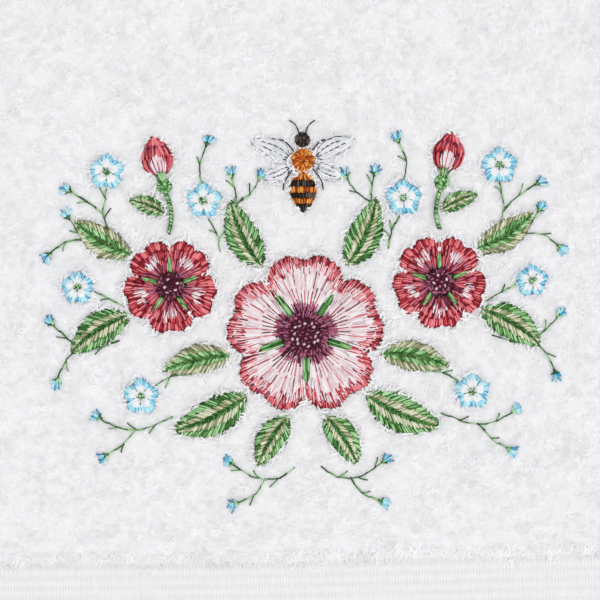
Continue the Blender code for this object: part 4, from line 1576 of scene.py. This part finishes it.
def build_embroidery():
    """Every motif's threads, as one piece for each colour of each."""
    rng = np.random.default_rng(17)
    for side in SIDES:
        for leaf in LEAVES:
            sew_leaf(mirrored(leaf, side), rng)
        for sprig in SPRIGS:
            sew_sprig(sprig, side, rng)
        sew_bud_stem(side, rng)
        bud = mirrored(ROSEBUD, side)
        sew_petal("bloom_crimson", 0.1, BUD_TIERS, leaf_field(bud), rng)
        sew_calyx(mirrored(CALYX, side), bud, rng)
        sew_bloom(mirrored(SIDE_BLOOM, side), "bloom_crimson", 0.15, SIDE_TIERS, rng)
        for star in STARS:
            sew_star(mirrored(star, side), rng)
    sew_bloom(CENTRE_BLOOM, "bloom_blush", 0.5, CENTRE_TIERS, rng, is_veined=True)
    sew_bee(rng)
    nodes = field_nodes()
    materials, pieces = {}, []
    for name, (thread, groups) in sewn.items():
        if thread not in materials:
            materials[thread] = thread_material(thread)
        piece = dress(name, strip_mesh(name, groups), f"thread_{thread}", materials[thread])
        if name in nodes:
            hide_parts(*nodes[name])
        pieces.append(piece)
    return pieces


FLOOR_SIDE = 30.0
FLOOR_Z = -0.3 * MM
FLOOR_GRAIN = 8 * MM
FLOOR_COLOURS = (0.70, 0.70, 0.70), (0.74, 0.74, 0.74)
LAMPS = (
    ("key", (2.9, -3.4, 3.2), 4.4, 94.0),
    ("fill", (-3.5, 2.5, 4.2), 4.0, 42.0),
)
ROOM_COLOUR = (0.985, 0.98, 1.0, 1.0)
ROOM_LIGHT = 0.8
EXPOSURE = -0.06
LIGHT_BOUNCES = 12
LENS = 90.0
SENSOR = 36.0


def build_stage():
    """A plain pale floor just under the towel."""
    mesh = bpy.data.meshes.new("floor")
    half = FLOOR_SIDE / 2
    corners = [(-half, -half), (half, -half), (half, half), (-half, half)]
    mesh.from_pydata([(x, y, FLOOR_Z) for x, y in corners], [], [(0, 1, 2, 3)])
    floor = bpy.data.objects.new("floor", mesh)
    bpy.context.scene.collection.objects.link(floor)
    look = Look("floor_paper", 0.9)
    look.paint(look.mix(look.noise(FLOOR_GRAIN), FLOOR_COLOURS))
    mesh.materials.append(look.material)


def build_lights():
    """Soft studio light from the lower right, and a bright pale room."""
    scene = bpy.context.scene
    target = Vector((0.0, PICTURE_Y, 0.0))
    for name, place, size, power in LAMPS:
        data = bpy.data.lights.new(name, "AREA")
        data.shape = "DISK"
        data.size = size
        data.energy = power
        lamp = bpy.data.objects.new(name, data)
        lamp.location = place
        lamp.rotation_euler = (target - Vector(place)).to_track_quat("-Z", "Y").to_euler()
        scene.collection.objects.link(lamp)
    world = bpy.data.worlds.new("studio")
    world.use_nodes = True
    background = world.node_tree.nodes["Background"]
    background.inputs["Color"].default_value = ROOM_COLOUR
    background.inputs["Strength"].default_value = ROOM_LIGHT
    scene.world = world
    scene.view_settings.view_transform = "Standard"
    scene.view_settings.exposure = EXPOSURE
    # Light goes from fibre to fibre many times in white pile.
    scene.cycles.diffuse_bounces = LIGHT_BOUNCES


def build_camera():
    """The photo's view: straight down on the embroidered end."""
    data = bpy.data.cameras.new("camera")
    data.lens = LENS
    data.sensor_width = SENSOR
    data.clip_start = 0.01
    camera = bpy.data.objects.new("camera", data)
    camera.location = (PICTURE_X, PICTURE_Y, HOOP_HEIGHT + PICTURE_SIDE * LENS / SENSOR)
    camera.rotation_euler = (0.0, 0.0, PICTURE_ROLL)
    bpy.context.scene.collection.objects.link(camera)
    bpy.context.scene.camera = camera


build_camera()
build_lights()
build_stage()
towel_sheet = build_sheet()
cloth_pieces = [*build_pile(), build_hem_stitches(), *build_embroidery()]
